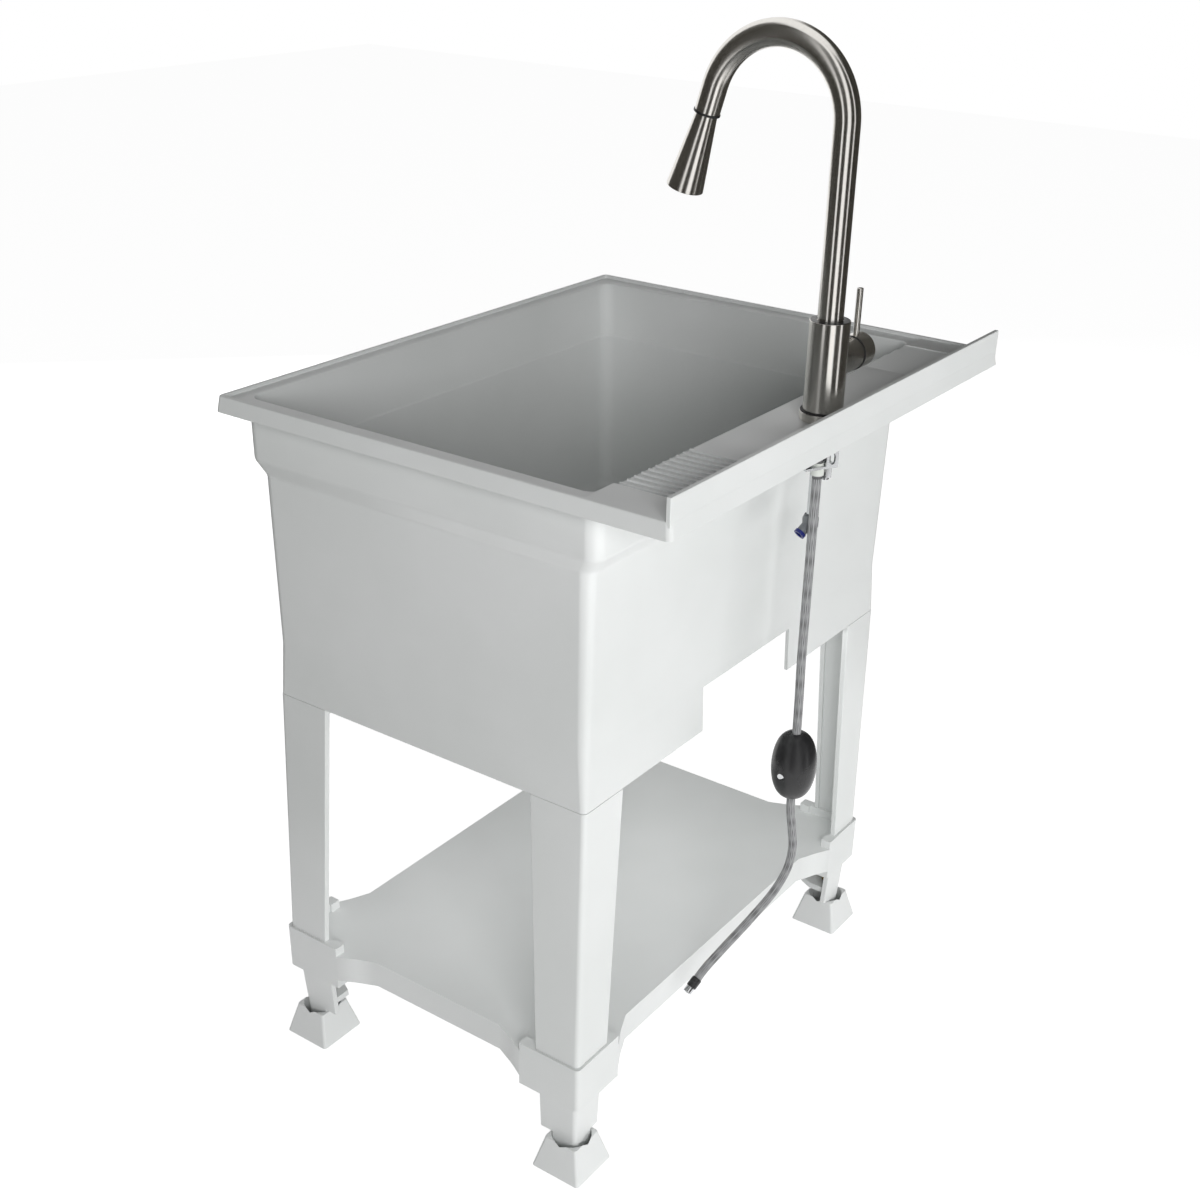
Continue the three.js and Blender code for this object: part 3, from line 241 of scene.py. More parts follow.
# %% [markdown]
# Plain pieces such as the legs already have their true shape in the frame.
# For them a copy of the solid is enough, once its triangles are dissolved
# into whole faces and its edges are rounded.

# %% Rounded copies of plain solids
WELD = 1e-3
STILL_FLAT = math.radians(0.6)


def rounded_copy(name, body, material, width, angle=CORNER):
    """Replaces a node of the frame by a copy with rounded edges."""
    solid = nodes[name]
    bm = bmesh.new()
    bm.from_mesh(solid.data)
    bm.transform(Matrix.Scale(1 / MM, 4) @ solid.matrix_world)
    bmesh.ops.remove_doubles(bm, verts=bm.verts, dist=WELD)
    bmesh.ops.dissolve_limit(bm, angle_limit=STILL_FLAT, verts=bm.verts, edges=bm.edges)
    round_edges(bm, sharp_edges(bm, angle), width)
    return finish(bm, "rounded_" + name, body, material, replaces=[name])


# %% [markdown]
# ## The hanging hose
# A grey braided hose hangs from under the deck. A split black weight is
# clamped round it, and below the weight the hose swings to the near side and
# ends in the air. The photograph shows it from end to end, so that is its
# whole length. A curve with a round bevel could draw it, but a mesh tube
# carries its own UV map, and the braid needs one that follows the hose.

# %% Route of the hanging hose
HOSE_RADIUS = 5.25
HOSE_SIDES = 24
ROUTE_STEPS = 9
hose_route = [
    (0, 247.5, 799.7),
    (0, 247.5, 740),
    (0, 247.5, 660),
    (-0.5, 247.5, 580),
    (-3, 247.5, 525),
    (-4, 247.5, 488),
    (-4, 247.5, 440),
    (-4, 247.5, 392),
    (-6, 247.5, 372),
    (-14, 247.2, 343),
    (-22, 246, 310),
    (-21, 242, 279),
    (-4, 235.5, 252),
    (34, 226, 227),
    (78, 216, 205),
    (110, 209, 188.5),
    (122, 206.5, 180),
]


def smooth_route(points, steps):
    """Points along a curve that passes through all the given points, evenly turned."""
    knots = [Vector(p) for p in points]
    knots = [2 * knots[0] - knots[1], *knots, 2 * knots[-1] - knots[-2]]
    line = []
    for a, b, c, d in zip(knots, knots[1:], knots[2:], knots[3:]):
        ab, bc, cd = ((q - p).length ** 0.5 for p, q in ((a, b), (b, c), (c, d)))
        into = ((b - a) / ab - (c - a) / (ab + bc) + (c - b) / bc) * bc
        out = ((c - b) / bc - (d - b) / (bc + cd) + (d - c) / cd) * bc
        for i in range(steps):
            t = i / steps
            line.append(
                b * (2 * t**3 - 3 * t**2 + 1)
                + into * (t**3 - 2 * t**2 + t)
                + c * (3 * t**2 - 2 * t**3)
                + out * (t**3 - t**2)
            )
    return [*line, knots[-2]]


hose_line = smooth_route(hose_route, ROUTE_STEPS)

# %% [markdown]
# A tube is a row of circles, one at each point of its line and square to it,
# with faces between neighbours. Each circle is turned on from the last one by the
# least turn that follows the line, so the braid doesn't twist.

# %% Tubes along a line


def frames_along(line):
    """One matrix for each point of a line, with Z along the line and no twist."""
    ahead = [(b - a).normalized() for a, b in zip(line, line[1:])]
    ahead = [ahead[0], *[(a + b).normalized() for a, b in zip(ahead, ahead[1:])], ahead[-1]]
    turn = ahead[0].to_track_quat("Z", "Y")
    frames = []
    for point, direction in zip(line, ahead):
        turn = (turn @ Vector((0, 0, 1))).rotation_difference(direction) @ turn
        frames.append(Matrix.Translation(point) @ turn.to_matrix().to_4x4())
    return frames


def tube(line, radius, sides):
    """A closed tube in millimetres. Its UV map runs round in turns, and along in metres."""
    bm = bmesh.new()
    uv = bm.loops.layers.uv.new("along")
    place = bm.verts.layers.float_vector.new("place")
    rings, run = [], 0.0
    for i, matrix in enumerate(frames_along(line)):
        run += (line[i] - line[i - 1]).length if i else 0.0
        made = bmesh.ops.create_circle(bm, segments=sides, radius=radius, matrix=matrix)["verts"]
        for k, vert in enumerate(made):
            vert[place] = (k / sides, run * MM, 0)
        rings.append(made)
    for low, high in zip(rings, rings[1:]):
        for k in range(sides):
            j = (k + 1) % sides
            face = bm.faces.new((low[k], low[j], high[j], high[k]))
            for loop in face.loops:
                around, along, _ = loop.vert[place]
                loop[uv].uv = (around + (1 if j == 0 and around < 0.5 else 0), along)
    for ring, flip in ((rings[0], True), (rings[-1], False)):
        bm.faces.new(list(reversed(ring)) if flip else ring)
    bm.verts.layers.float_vector.remove(place)
    return bm


# %% [markdown]
# ## Finishes
# The sink has few finishes: plastics, steel, rubber, nylon, brass and a
# braided hose. What several of them share is made once as a node group: the
# faint skin of a moulded piece, the fine lines of a brushed one, and the
# smudges that hands leave. The weave of the braid is a group too. A group
# only puts out colours, gloss, masks and heights, and each material keeps its
# own Principled shader.

# %% Helpers for nodes


def new_group(name, inputs, outputs):
    """A shader node group with named sockets, and its input and output nodes."""
    tree = bpy.data.node_groups.new(name, "ShaderNodeTree")
    for label, kind, value in inputs:
        socket = tree.interface.new_socket(name=label, in_out="INPUT", socket_type="NodeSocket" + kind)
        if value is not None:
            socket.default_value = value
    for label, kind in outputs:
        tree.interface.new_socket(name=label, in_out="OUTPUT", socket_type="NodeSocket" + kind)
    return tree, tree.nodes.new("NodeGroupInput").outputs, tree.nodes.new("NodeGroupOutput").inputs


def node(tree, kind, inputs=None, **settings):
    """Adds a node. Each input is a number, a colour or another node's output."""
    made = tree.nodes.new(kind)
    for key, value in settings.items():
        setattr(made, key, value)
    for key, value in (inputs or {}).items():
        if isinstance(value, bpy.types.NodeSocket):
            tree.links.new(value, made.inputs[key])
        else:
            made.inputs[key].default_value = value
    return made


def feed(tree, sockets, values):
    """Joins outputs of nodes to named sockets."""
    for label, value in values.items():
        tree.links.new(value, sockets[label])


def maths(tree, operation, first, second=0.0, clamp=False):
    """A Math node's output."""
    given = {0: first, 1: second}
    return node(tree, "ShaderNodeMath", given, operation=operation, use_clamp=clamp).outputs[0]


def stretch(tree, vector, scale):
    """A vector with each of its directions scaled, by a Mapping node."""
    return node(tree, "ShaderNodeMapping", {"Vector": vector, "Scale": scale}).outputs[0]


def noise(tree, vector, scale, detail=2.0, roughness=0.5):
    """A Noise Texture's value."""
    given = {"Vector": vector, "Scale": scale, "Detail": detail, "Roughness": roughness}
    return node(tree, "ShaderNodeTexNoise", given).outputs["Fac"]


def ramp(tree, value, low, high, to_low=0.0, to_high=1.0):
    """Carries a value from one range to another, and stops at its ends."""
    given = {"Value": value, "From Min": low, "From Max": high, "To Min": to_low, "To Max": to_high}
    return node(tree, "ShaderNodeMapRange", given).outputs["Result"]


def mix_colour(tree, share, first, second):
    """A colour between two others."""
    given = {"Factor": share, 6: first, 7: second}
    return node(tree, "ShaderNodeMix", given, data_type="RGBA").outputs[2]


# %% [markdown]
# Moulded plastic is never quite even: its shade drifts slowly over a large
# panel, its gloss changes in patches where the mould was polished, and its
# skin has a very fine ripple. Noise at three sizes gives these three.

# %% Group for a moulded skin
SURFACE = [("Color", "Color"), ("Roughness", "Float"), ("Height", "Float")]
tree, given, out = new_group(
    "moulded skin",
    [
        ("Vector", "Vector", None),
        ("Shade", "Color", (0.8, 0.8, 0.8, 1)),
        ("Light", "Color", (0.9, 0.9, 0.9, 1)),
        ("Roughness", "Float", 0.4),
        ("Spread", "Float", 0.1),
        ("Ripple", "Float", 900.0),
    ],
    SURFACE,
)
drift = ramp(tree, noise(tree, given["Vector"], 3.5, 3.0), 0.35, 0.65)
patches = ramp(tree, noise(tree, given["Vector"], 22.0, 4.0), 0.3, 0.7, -0.5, 0.5)
spread = maths(tree, "MULTIPLY", patches, given["Spread"])
gloss = maths(tree, "ADD", spread, given["Roughness"], clamp=True)
skin_colour = mix_colour(tree, drift, given["Shade"], given["Light"])
ripple = noise(tree, given["Vector"], given["Ripple"])
feed(tree, out, {"Color": skin_colour, "Roughness": gloss, "Height": ripple})
skin_tree = tree
print("group:", skin_tree.name)

# %% [markdown]
# Brushed steel gets its look from thousands of fine scratches that all run
# one way. Noise that is stretched far longer in one direction than in another
# makes them. Fine lines are mixed with broader ones. The caller stretches the
# vector, so the same group serves pieces that are brushed in different ways.

# %% Group for brushed lines
tree, given, out = new_group(
    "brushed lines",
    [
        ("Vector", "Vector", None),
        ("Dark", "Color", (0.4, 0.37, 0.34, 1)),
        ("Light", "Color", (0.6, 0.56, 0.52, 1)),
        ("Roughness", "Float", 0.3),
        ("Spread", "Float", 0.15),
    ],
    SURFACE,
)
FINE_SHARE = 0.7
BROAD_SHARE = 0.3
BROAD_SCALE = (0.22, 0.22, 0.22)
broad_vector = stretch(tree, given["Vector"], BROAD_SCALE)
fine = noise(tree, given["Vector"], 1.0, detail=3.0, roughness=0.7)
fine_part = maths(tree, "MULTIPLY", fine, FINE_SHARE)
broad_part = maths(tree, "MULTIPLY", noise(tree, broad_vector, 1.0, detail=1.0), BROAD_SHARE)
lines = maths(tree, "ADD", fine_part, broad_part)
streak = ramp(tree, lines, 0.36, 0.64)
metal_colour = mix_colour(tree, streak, given["Dark"], given["Light"])
centred = maths(tree, "SUBTRACT", streak, 0.5)
wander = maths(tree, "MULTIPLY", centred, given["Spread"])
metal_gloss = maths(tree, "ADD", given["Roughness"], wander, clamp=True)
feed(tree, out, {"Color": metal_colour, "Roughness": metal_gloss, "Height": lines})
brushed_tree = tree
print("group:", brushed_tree.name)

# %% [markdown]
# A braid is two sets of yarns that wind round the hose, one to the left and
# one to the right, and pass over and under each other. Each set is a wave
# along one diagonal of the UV map. Where one wave is high and the other low,
# the first yarn lies on top, so the higher of the two gives the surface.

# %% Group for a braid
tree, given, out = new_group(
    "braid",
    [("Vector", "Vector", None), ("Yarns", "Float", 8.0), ("Turns", "Float", 380.0)],
    [("Height", "Float"), ("Gap", "Float"), ("Fibre", "Float")],
)
CROSSING_LIFT = 0.35
FIBRE_LINES = (60.0, 2600.0, 1.0)
split = node(tree, "ShaderNodeSeparateXYZ", {0: given["Vector"]})
round_yarns = maths(tree, "MULTIPLY", split.outputs["X"], given["Yarns"])
along_turns = maths(tree, "MULTIPLY", split.outputs["Y"], given["Turns"])
yarns = []
for way, other_way, lift in (("ADD", "SUBTRACT", CROSSING_LIFT), ("SUBTRACT", "ADD", -CROSSING_LIFT)):
    phase = maths(tree, way, round_yarns, along_turns)
    other_phase = maths(tree, other_way, round_yarns, along_turns)
    wave = maths(tree, "SINE", maths(tree, "MULTIPLY", phase, math.pi))
    crossing = maths(tree, "SINE", maths(tree, "MULTIPLY", other_phase, math.pi))
    raised = maths(tree, "MULTIPLY", crossing, lift)
    yarns.append(maths(tree, "ADD", maths(tree, "ABSOLUTE", wave), raised))
top_yarn = maths(tree, "MAXIMUM", *yarns)
fibre = noise(tree, stretch(tree, given["Vector"], FIBRE_LINES), 1.0)
gap = ramp(tree, top_yarn, 0.5, 1.0)
feed(tree, out, {"Height": top_yarn, "Gap": gap, "Fibre": fibre})
braid_tree = tree
print("group:", braid_tree.name)

# %% [markdown]
# Hands leave smudges on metal. They only change its gloss, in soft patches.

# %% Group for smudges
tree, given, out = new_group(
    "smudges",
    [
        ("Vector", "Vector", None),
        ("Roughness", "Float", 0.3),
        ("Amount", "Float", 0.1),
        ("Scale", "Float", 18.0),
    ],
    [("Roughness", "Float")],
)
blots = noise(tree, given["Vector"], given["Scale"], detail=5.0)
smudged = maths(tree, "MULTIPLY", ramp(tree, blots, 0.52, 0.68), given["Amount"])
smudged_gloss = maths(tree, "ADD", given["Roughness"], smudged)
feed(tree, out, {"Roughness": smudged_gloss})
smudge_tree = tree
print("group:", smudge_tree.name)

# %% [markdown]
# Each family of materials places the groups round its own shader: a moulded
# one uses the skin, and a brushed one uses the lines and the smudges.

# %% Helpers for materials


def new_material(name, shader):
    """An empty material with a Principled shader, whose plain sockets are set by name."""
    material = bpy.data.materials.new(name)
    material.use_nodes = True
    tree = material.node_tree
    principled = tree.nodes["Principled BSDF"]
    for key, value in shader.items():
        principled.inputs[key].default_value = value
    return material, tree, principled


def use_group(tree, group, inputs):
    """Places a node group in a material with its own values."""
    return node(tree, "ShaderNodeGroup", inputs, node_tree=group).outputs


def dress(tree, principled, colour, gloss, height, depth):
    """Feeds the shader a colour, a roughness, and a bump so many millimetres deep."""
    bump = node(tree, "ShaderNodeBump", {"Height": height, "Strength": 1.0, "Distance": depth * MM})
    given = {"Base Color": colour, "Roughness": gloss, "Normal": bump.outputs[0]}
    feed(tree, principled.inputs, given)


def moulded(name, shade, light, roughness, spread, ripple, depth):
    """A moulded plastic or rubber: a drifting shade, patchy gloss and a fine ripple."""
    material, tree, principled = new_material(name, {"Metallic": 0.0})
    where = node(tree, "ShaderNodeTexCoord").outputs["Object"]
    given = {"Vector": where, "Shade": (*shade, 1), "Light": (*light, 1)}
    skin = use_group(tree, skin_tree, {**given, "Roughness": roughness, "Spread": spread, "Ripple": ripple})
    dress(tree, principled, skin["Color"], skin["Roughness"], skin["Height"], depth)
    return material


def brushed(
    name, dark, light, roughness, lines, source="Object", spread=0.12, depth=0.004, smudge=0.04, **shader
):
    """A brushed or turned metal. Its lines run across the direction with the largest number."""
    material, tree, principled = new_material(name, {"Metallic": 1.0, **shader})
    where = node(tree, "ShaderNodeTexCoord").outputs[source]
    if source == "UV":
        along = node(tree, "ShaderNodeTangent", direction_type="UV_MAP", uv_map="along")
        feed(tree, principled.inputs, {"Tangent": along.outputs[0]})
    given = {"Vector": stretch(tree, where, lines), "Dark": (*dark, 1), "Light": (*light, 1)}
    metal = use_group(tree, brushed_tree, {**given, "Roughness": roughness, "Spread": spread})
    film = use_group(tree, smudge_tree, {"Vector": where, "Roughness": metal["Roughness"], "Amount": smudge})
    dress(tree, principled, metal["Color"], film["Roughness"], metal["Height"], depth)
    return material


# %% [markdown]
# The white pieces are one plastic. Its tone was judged where the photograph
# lights it evenly: a faintly cool white, satin rather than glossy.

# %% Plastics, rubber and nylon
white = moulded("white plastic", (0.74, 0.76, 0.75), (0.80, 0.815, 0.81), 0.34, 0.12, 700.0, 0.012)
black = moulded("black plastic", (0.012, 0.012, 0.013), (0.03, 0.03, 0.031), 0.3, 0.2, 1500.0, 0.03)
rubber = moulded("black rubber", (0.014, 0.014, 0.015), (0.028, 0.028, 0.03), 0.7, 0.2, 2400.0, 0.05)
nylon = moulded("white nylon", (0.58, 0.6, 0.57), (0.68, 0.7, 0.66), 0.5, 0.15, 1200.0, 0.03)
grey = moulded("grey plastic", (0.13, 0.14, 0.15), (0.2, 0.21, 0.22), 0.4, 0.15, 1200.0, 0.03)
blue = moulded("blue plastic", (0.01, 0.016, 0.12), (0.02, 0.03, 0.2), 0.35, 0.15, 1200.0, 0.02)
print("plastics:", white.name, black.name, rubber.name, nylon.name, grey.name, blue.name)

# %% [markdown]
# The faucet is brushed steel with a warm tone. Its lines run round each turned
# piece, and round the spout too, because their UV maps run the same way.
# Small fixings read Object coordinates, and their lines lie level.

# %% Metals
LINES_ROUND = (60.0, 60.0, 9000.0)
STEEL_DARK = (0.74, 0.715, 0.675)
STEEL_LIGHT = (0.86, 0.84, 0.80)
LINES_TURNED = (2.0, 6000.0, 1.0)
grain = {"Anisotropic": 0.85, "Anisotropic Rotation": 0.25}
steel = brushed(
    "brushed steel", STEEL_DARK, STEEL_LIGHT, 0.23, LINES_TURNED, "UV", 0.05, 0.001, 0.02, **grain
)
chrome = brushed("plated steel", (0.55, 0.56, 0.57), (0.72, 0.73, 0.74), 0.16, LINES_ROUND, smudge=0.15)
brass = brushed("turned brass", (0.42, 0.27, 0.09), (0.6, 0.42, 0.17), 0.24, LINES_ROUND)
print("metals:", steel.name, chrome.name, brass.name)

# %% [markdown]
# The hose's braid is grey yarn over a darker core, so the gaps between yarns
# show dark. It reads the hose's own UV map, so that it follows every bend.

# %% Braided hose
GAP_COLOUR = (0.12, 0.12, 0.123, 1)
YARN_DARK = (0.24, 0.245, 0.25, 1)
YARN_LIGHT = (0.42, 0.425, 0.43, 1)
cloth = {"Metallic": 0.0, "Sheen Weight": 0.15}
braid_material, braid_nodes, braid_shader = new_material("braided hose", cloth)
braid_uv = node(braid_nodes, "ShaderNodeTexCoord").outputs["UV"]
braid = use_group(braid_nodes, braid_tree, {"Vector": braid_uv, "Yarns": 14.0, "Turns": 26.0})
yarn_colour = mix_colour(braid_nodes, braid["Fibre"], YARN_DARK, YARN_LIGHT)
braid_colour = mix_colour(braid_nodes, braid["Gap"], GAP_COLOUR, yarn_colour)
braid_gloss = ramp(braid_nodes, braid["Fibre"], 0.0, 1.0, 0.42, 0.7)
dress(braid_nodes, braid_shader, braid_colour, braid_gloss, braid["Height"], 0.15)
print("braid:", braid_material.name)

# %% [markdown]
# Every node of the frame gets its finish, also where a fuller piece will
# replace it. A name that ends as one of FAMILY_ENDINGS stands for all nodes
# that start with it.

# %% Give every node of the frame its finish
FAMILY_ENDINGS = ("_", "near", "far")
finishes = {
    white: ["tub", "shelf", "leg_", "foot_near", "foot_far"],
    steel: ["faucet_flange", "faucet_body", "lever_rod", "handle_cap", "spout_tube", "spray_head"],
    chrome: [
        "foot_screw_", "drain_body", "drain_basket", "set_screw", "bracket",
        "faucet_stud", "stud_nut", "outlet_tube", "hose_ferrule", "weight_screw",
    ],
    black: ["swivel_bush", "spout_end_ring", "spray_nozzle", "hose_sleeve", "weight_half_"],
    rubber: ["foot_glide_", "drain_gasket", "faucet_seal", "bracket_gasket"],
    nylon: ["drain_locknut", "lower_bush", "cartridge", "cartridge_rotor", "hose_bush"],
    brass: ["foot_insert_", "cartridge_nut", "lever_stem"],
    grey: ["outlet_fitting"],
    blue: ["outlet_ring"],
    braid_material: ["hanging_hose", "hose_stub", "hose_in_spout"],
}
for material, wanted in finishes.items():
    families = tuple(start for start in wanted if start.endswith(FAMILY_ENDINGS))
    for name, solid in nodes.items():
        if name in wanted or name.startswith(families):
            solid.data.materials.clear()
            solid.data.materials.append(material)
print("finishes on", len(nodes), "nodes")

# %% [markdown]
# ## The tub
# The tub is one moulding: basin, deck, splash, skirt and the straight band,
# shoulder and sides below. Its wall is drawn as one row of rounded rectangles
# after another, from the drain hole up the inside of the basin, over the deck
# and the lip, and down the outside to the hem and back to the drain hole. So
# the surface closes on itself. An outline is (half width, front, back).

# %% Sizes of the tub
FAUCET_Y = 247.5
DRAIN_Y = -40.0
DECK = 866.0
LIP = 870.0
UNDER_DECK = 862.0
SKIRT = 852.0
BAND = 797.0
SHOULDER = 778.0
FLOOR = 577.0
UNDER_FLOOR = 572.0
HEM = 506.0
SPLASH_FACE = 285.0
SPLASH_TOP = 893.5
FOOT_RADIUS = 16.0
FOOT_STEPS = 6
FLOOR_RISE = 3.0
DRAIN_HOLE = 24.0
DRAIN_SEAT = 40.0
TUB_WALL = 4.5
RIM_WALL = 3.2

mouth = (326.5, -270.5, 190.5)
inner_line = (318.5, -262.5, 177.5)
inner_foot = (314.5, -258.5, 171.0)
ledge = (347.6, -285.4, SPLASH_FACE)
rim = (352.6, -290.4, 290.4)
skirt = (355.3, -293.1, 293.1)
band = (331.0, -275.0, 195.0)
shoulder = (322.0, -266.0, 181.0)
waist = (320.5, -264.5, 177.0)
hem = (323.0, -267.0, 179.5)


def grown(outline, by):
    """An outline that is wider by the same amount on every side."""
    half, front, back = outline
    return (half + by, front - by, back + by)


def circle_outline(radius):
    """The outline of a circle round the drain."""
    return (radius, DRAIN_Y - radius, DRAIN_Y + radius)


# Each level is (outline, height, corner radius, how far its edge is rounded).
tub_levels = [
    (circle_outline(DRAIN_HOLE), FLOOR, DRAIN_HOLE, 0.8),
    (circle_outline(DRAIN_SEAT), FLOOR, DRAIN_SEAT, 0),
]
for step in range(FOOT_STEPS + 1):
    bend = math.radians(90 / FOOT_STEPS * step)
    by = FOOT_RADIUS * (1 - math.sin(bend))
    height = FLOOR + FLOOR_RISE + FOOT_RADIUS * (1 - math.cos(bend))
    tub_levels.append((grown(inner_foot, -by), height, FOOT_RADIUS - by / 2, 0))
tub_levels += [
    (inner_line, BAND, 16, 0.8),
    (grown(inner_line, 1.5), BAND + 2, 16, 0.8),
    (mouth, DECK, 16, 2.0),
    (ledge, DECK, 3, 0.7),
    (ledge, LIP, 3, 0.7),
    (rim, LIP, 6, 1.4),
    (skirt, SKIRT, 6, 0.8),
    (grown(skirt, -RIM_WALL), SKIRT, 4, 0.8),
    (grown(rim, -RIM_WALL), UNDER_DECK, 4, 0),
    (band, UNDER_DECK, 16, 0),
    (band, BAND, 16, 3.0),
    (shoulder, SHOULDER, 14, 3.0),
    (waist, UNDER_FLOOR, 11, 1.5),
    (hem, HEM, 7, 0.8),
    (grown(hem, -TUB_WALL), HEM, 2.5, 0.8),
    (grown(waist, -TUB_WALL), UNDER_FLOOR, 6.5, 0),
    (circle_outline(DRAIN_HOLE), UNDER_FLOOR, DRAIN_HOLE, 0),
]
print("tub levels:", len(tub_levels))

# %% [markdown]
# A level starts as a plain circle. Its points are then shared out over the
# four corners of the rounded rectangle, so all levels have the same number of
# points, and faces join each level to the next.

# %% Build the wall of the tub


def rounded_ring(bm, outline, height, radius, steps=8):
    """A ring of points round a rounded rectangle at one height."""
    half, front, back = outline
    made = bmesh.ops.create_circle(bm, segments=4 * (steps + 1), radius=1.0)["verts"]
    for k, vert in enumerate(made):
        quarter, step = divmod(k, steps + 1)
        angle = math.pi / 2 * (quarter + step / steps)
        x = (half - radius) * (1 if quarter in (0, 3) else -1)
        y = back - radius if quarter < 2 else front + radius
        vert.co = (x + radius * math.cos(angle), y + radius * math.sin(angle), height)
    return made


def ring_edges(bm, ring):
    """The edges round a ring of points."""
    return [bm.edges.get(pair) for pair in zip(ring, ring[1:] + ring[:1])]


tub_bm = bmesh.new()
rings = [rounded_ring(tub_bm, outline, height, radius) for outline, height, radius, _ in tub_levels]
for low_ring, high_ring in zip(rings, rings[1:] + rings[:1]):
    for k, corner in enumerate(low_ring):
        j = (k + 1) % len(low_ring)
        tub_bm.faces.new((corner, low_ring[j], high_ring[j], high_ring[k]))
bmesh.ops.recalc_face_normals(tub_bm, faces=tub_bm.faces)
soft_edges = [(ring_edges(tub_bm, ring), level[3]) for ring, level in zip(rings, tub_levels) if level[3]]
for edges, width in soft_edges:
    round_edges(tub_bm, edges, width, 3)
print("tub wall:", len(tub_bm.faces), "faces")

# %% [markdown]
# A notch at the back lets pipes through, and the faucet stands over a round
# hole. One Boolean cuts both while the wall is a single closed surface. The
# cutters reach past it, so that no thin skin is left.

# %% Notch for the pipes and hole for the faucet
NOTCH_HALF = 96.0
NOTCH_HEIGHT = 56.0
FAUCET_HOLE = 21.0
PAST = 2.0
on_axis = Matrix.Translation((0, FAUCET_Y, 0))
holes_bm = block((-NOTCH_HALF, 0, HEM - PAST), (NOTCH_HALF, band[2] + PAST, HEM + NOTCH_HEIGHT))
rod(FAUCET_HOLE, UNDER_DECK - PAST, LIP + PAST, on_axis, bm=holes_bm)
combine(tub_bm, holes_bm, "DIFFERENCE")
print("tub wall, cut:", len(tub_bm.faces), "faces")

# %% [markdown]
# The back splash stands on the deck. A drainboard of thin ribs fills the deck
# on one side of the faucet, and four sloping slats with rounded corners fill
# the other. A pad closes each end of the deck. All of them are plates that
# sink a little way into the deck, so that no gap shows. A plate is an outline
# that is extruded upwards, and its far edge can be lifted.

# %% Splash, ribs, slats and pads
RIB_COUNT = 11
RIB_PITCH = 12.0
FIRST_RIB = 172.0
RIB_HALF = 1.5
RIB_RISE = 2.2
SLAT_COUNT = 4
SLAT_PITCH = 26.7
SLAT_WIDTH = 26.0
SLAT_RISE = 3.0
SLAT_STEP = 0.1
SLAT_CORNER = 5.0
FIRST_SLAT = -202.0
PAD_WIDTH = 46.0
PAD_FALL = -2.5
PAD_CORNER = 4.0
PLATE_SINK = 1.5
EDGE_SINK = 0.5
DECK_FRONT = mouth[2] + 2.2
DECK_BACK = SPLASH_FACE + EDGE_SINK


def plate(near, far, front, back, top, lift=0.0, corner=1.0, soft=0.3):
    """Adds a plate on the deck to the tub, from near to far along -X."""
    bm = bmesh.new()
    ring = rounded_ring(bm, ((near - far) / 2, front, back), DECK - PLATE_SINK, corner, 4)
    for vert in ring:
        vert.co.x += (near + far) / 2
    base = bm.faces.new(ring)
    raised = bmesh.ops.extrude_face_region(bm, geom=[base])["geom"]
    for vert in [part for part in raised if isinstance(part, bmesh.types.BMVert)]:
        vert.co.z = top + lift * (near - vert.co.x) / (near - far)
    bmesh.ops.recalc_face_normals(bm, faces=bm.faces)
    sunk = DECK - PLATE_SINK / 2
    above = [edge for edge in sharp_edges(bm) if min(vert.co.z for vert in edge.verts) > sunk]
    round_edges(bm, above, soft)
    mesh = bpy.data.meshes.new("plate")
    bm.to_mesh(mesh)
    bm.free()
    tub_bm.from_mesh(mesh)
    bpy.data.meshes.remove(mesh)


plate(rim[0], -rim[0], SPLASH_FACE, rim[2], SPLASH_TOP, soft=1.3)
plate(ledge[0] + EDGE_SINK, ledge[0] - PAD_WIDTH, DECK_FRONT, DECK_BACK, LIP)
plate(PAD_WIDTH - ledge[0], -ledge[0] - EDGE_SINK, DECK_FRONT, DECK_BACK, LIP, PAD_FALL, PAD_CORNER)
for i in range(RIB_COUNT):
    middle = FIRST_RIB + i * RIB_PITCH
    plate(middle + RIB_HALF, middle - RIB_HALF, DECK_FRONT, DECK_BACK, DECK + RIB_RISE, soft=0.7)
for i in range(SLAT_COUNT):
    near = FIRST_SLAT - i * SLAT_PITCH
    top = DECK + SLAT_STEP * (i + 1)
    plate(near, near - SLAT_WIDTH, DECK_FRONT, DECK_BACK, top, SLAT_RISE, SLAT_CORNER, 1.2)
finish(tub_bm, "tub_moulding", "stand", white, replaces=["tub"])

# %% [markdown]
# ## Legs, shelf and feet
# The legs are angle sections with a bead along each free edge. They plug into
# the tub from below and into the sockets of the shelf, and the shelf stands on
# short legs of its own in four adjustable feet.

# %% Legs, shelf and feet
LEG_CORNER = math.radians(50)
rounded_copy("shelf", "stand", white, 0.7, LEG_CORNER)
for corner in ("near_back", "near_front", "far_front", "far_back"):
    rounded_copy("leg_" + corner, "stand", white, 0.9, LEG_CORNER)
    rounded_copy("foot_" + corner, "foot_" + corner, white, 0.7, LEG_CORNER)

# %% [markdown]
# ## The faucet
# A flange, a body with an arm for the control, and a tall spout that swivels
# in a black bush. Everything but the spout is spun. Lengths along the arm and
# along the nose are measured from the faucet's axis and the spout's end.

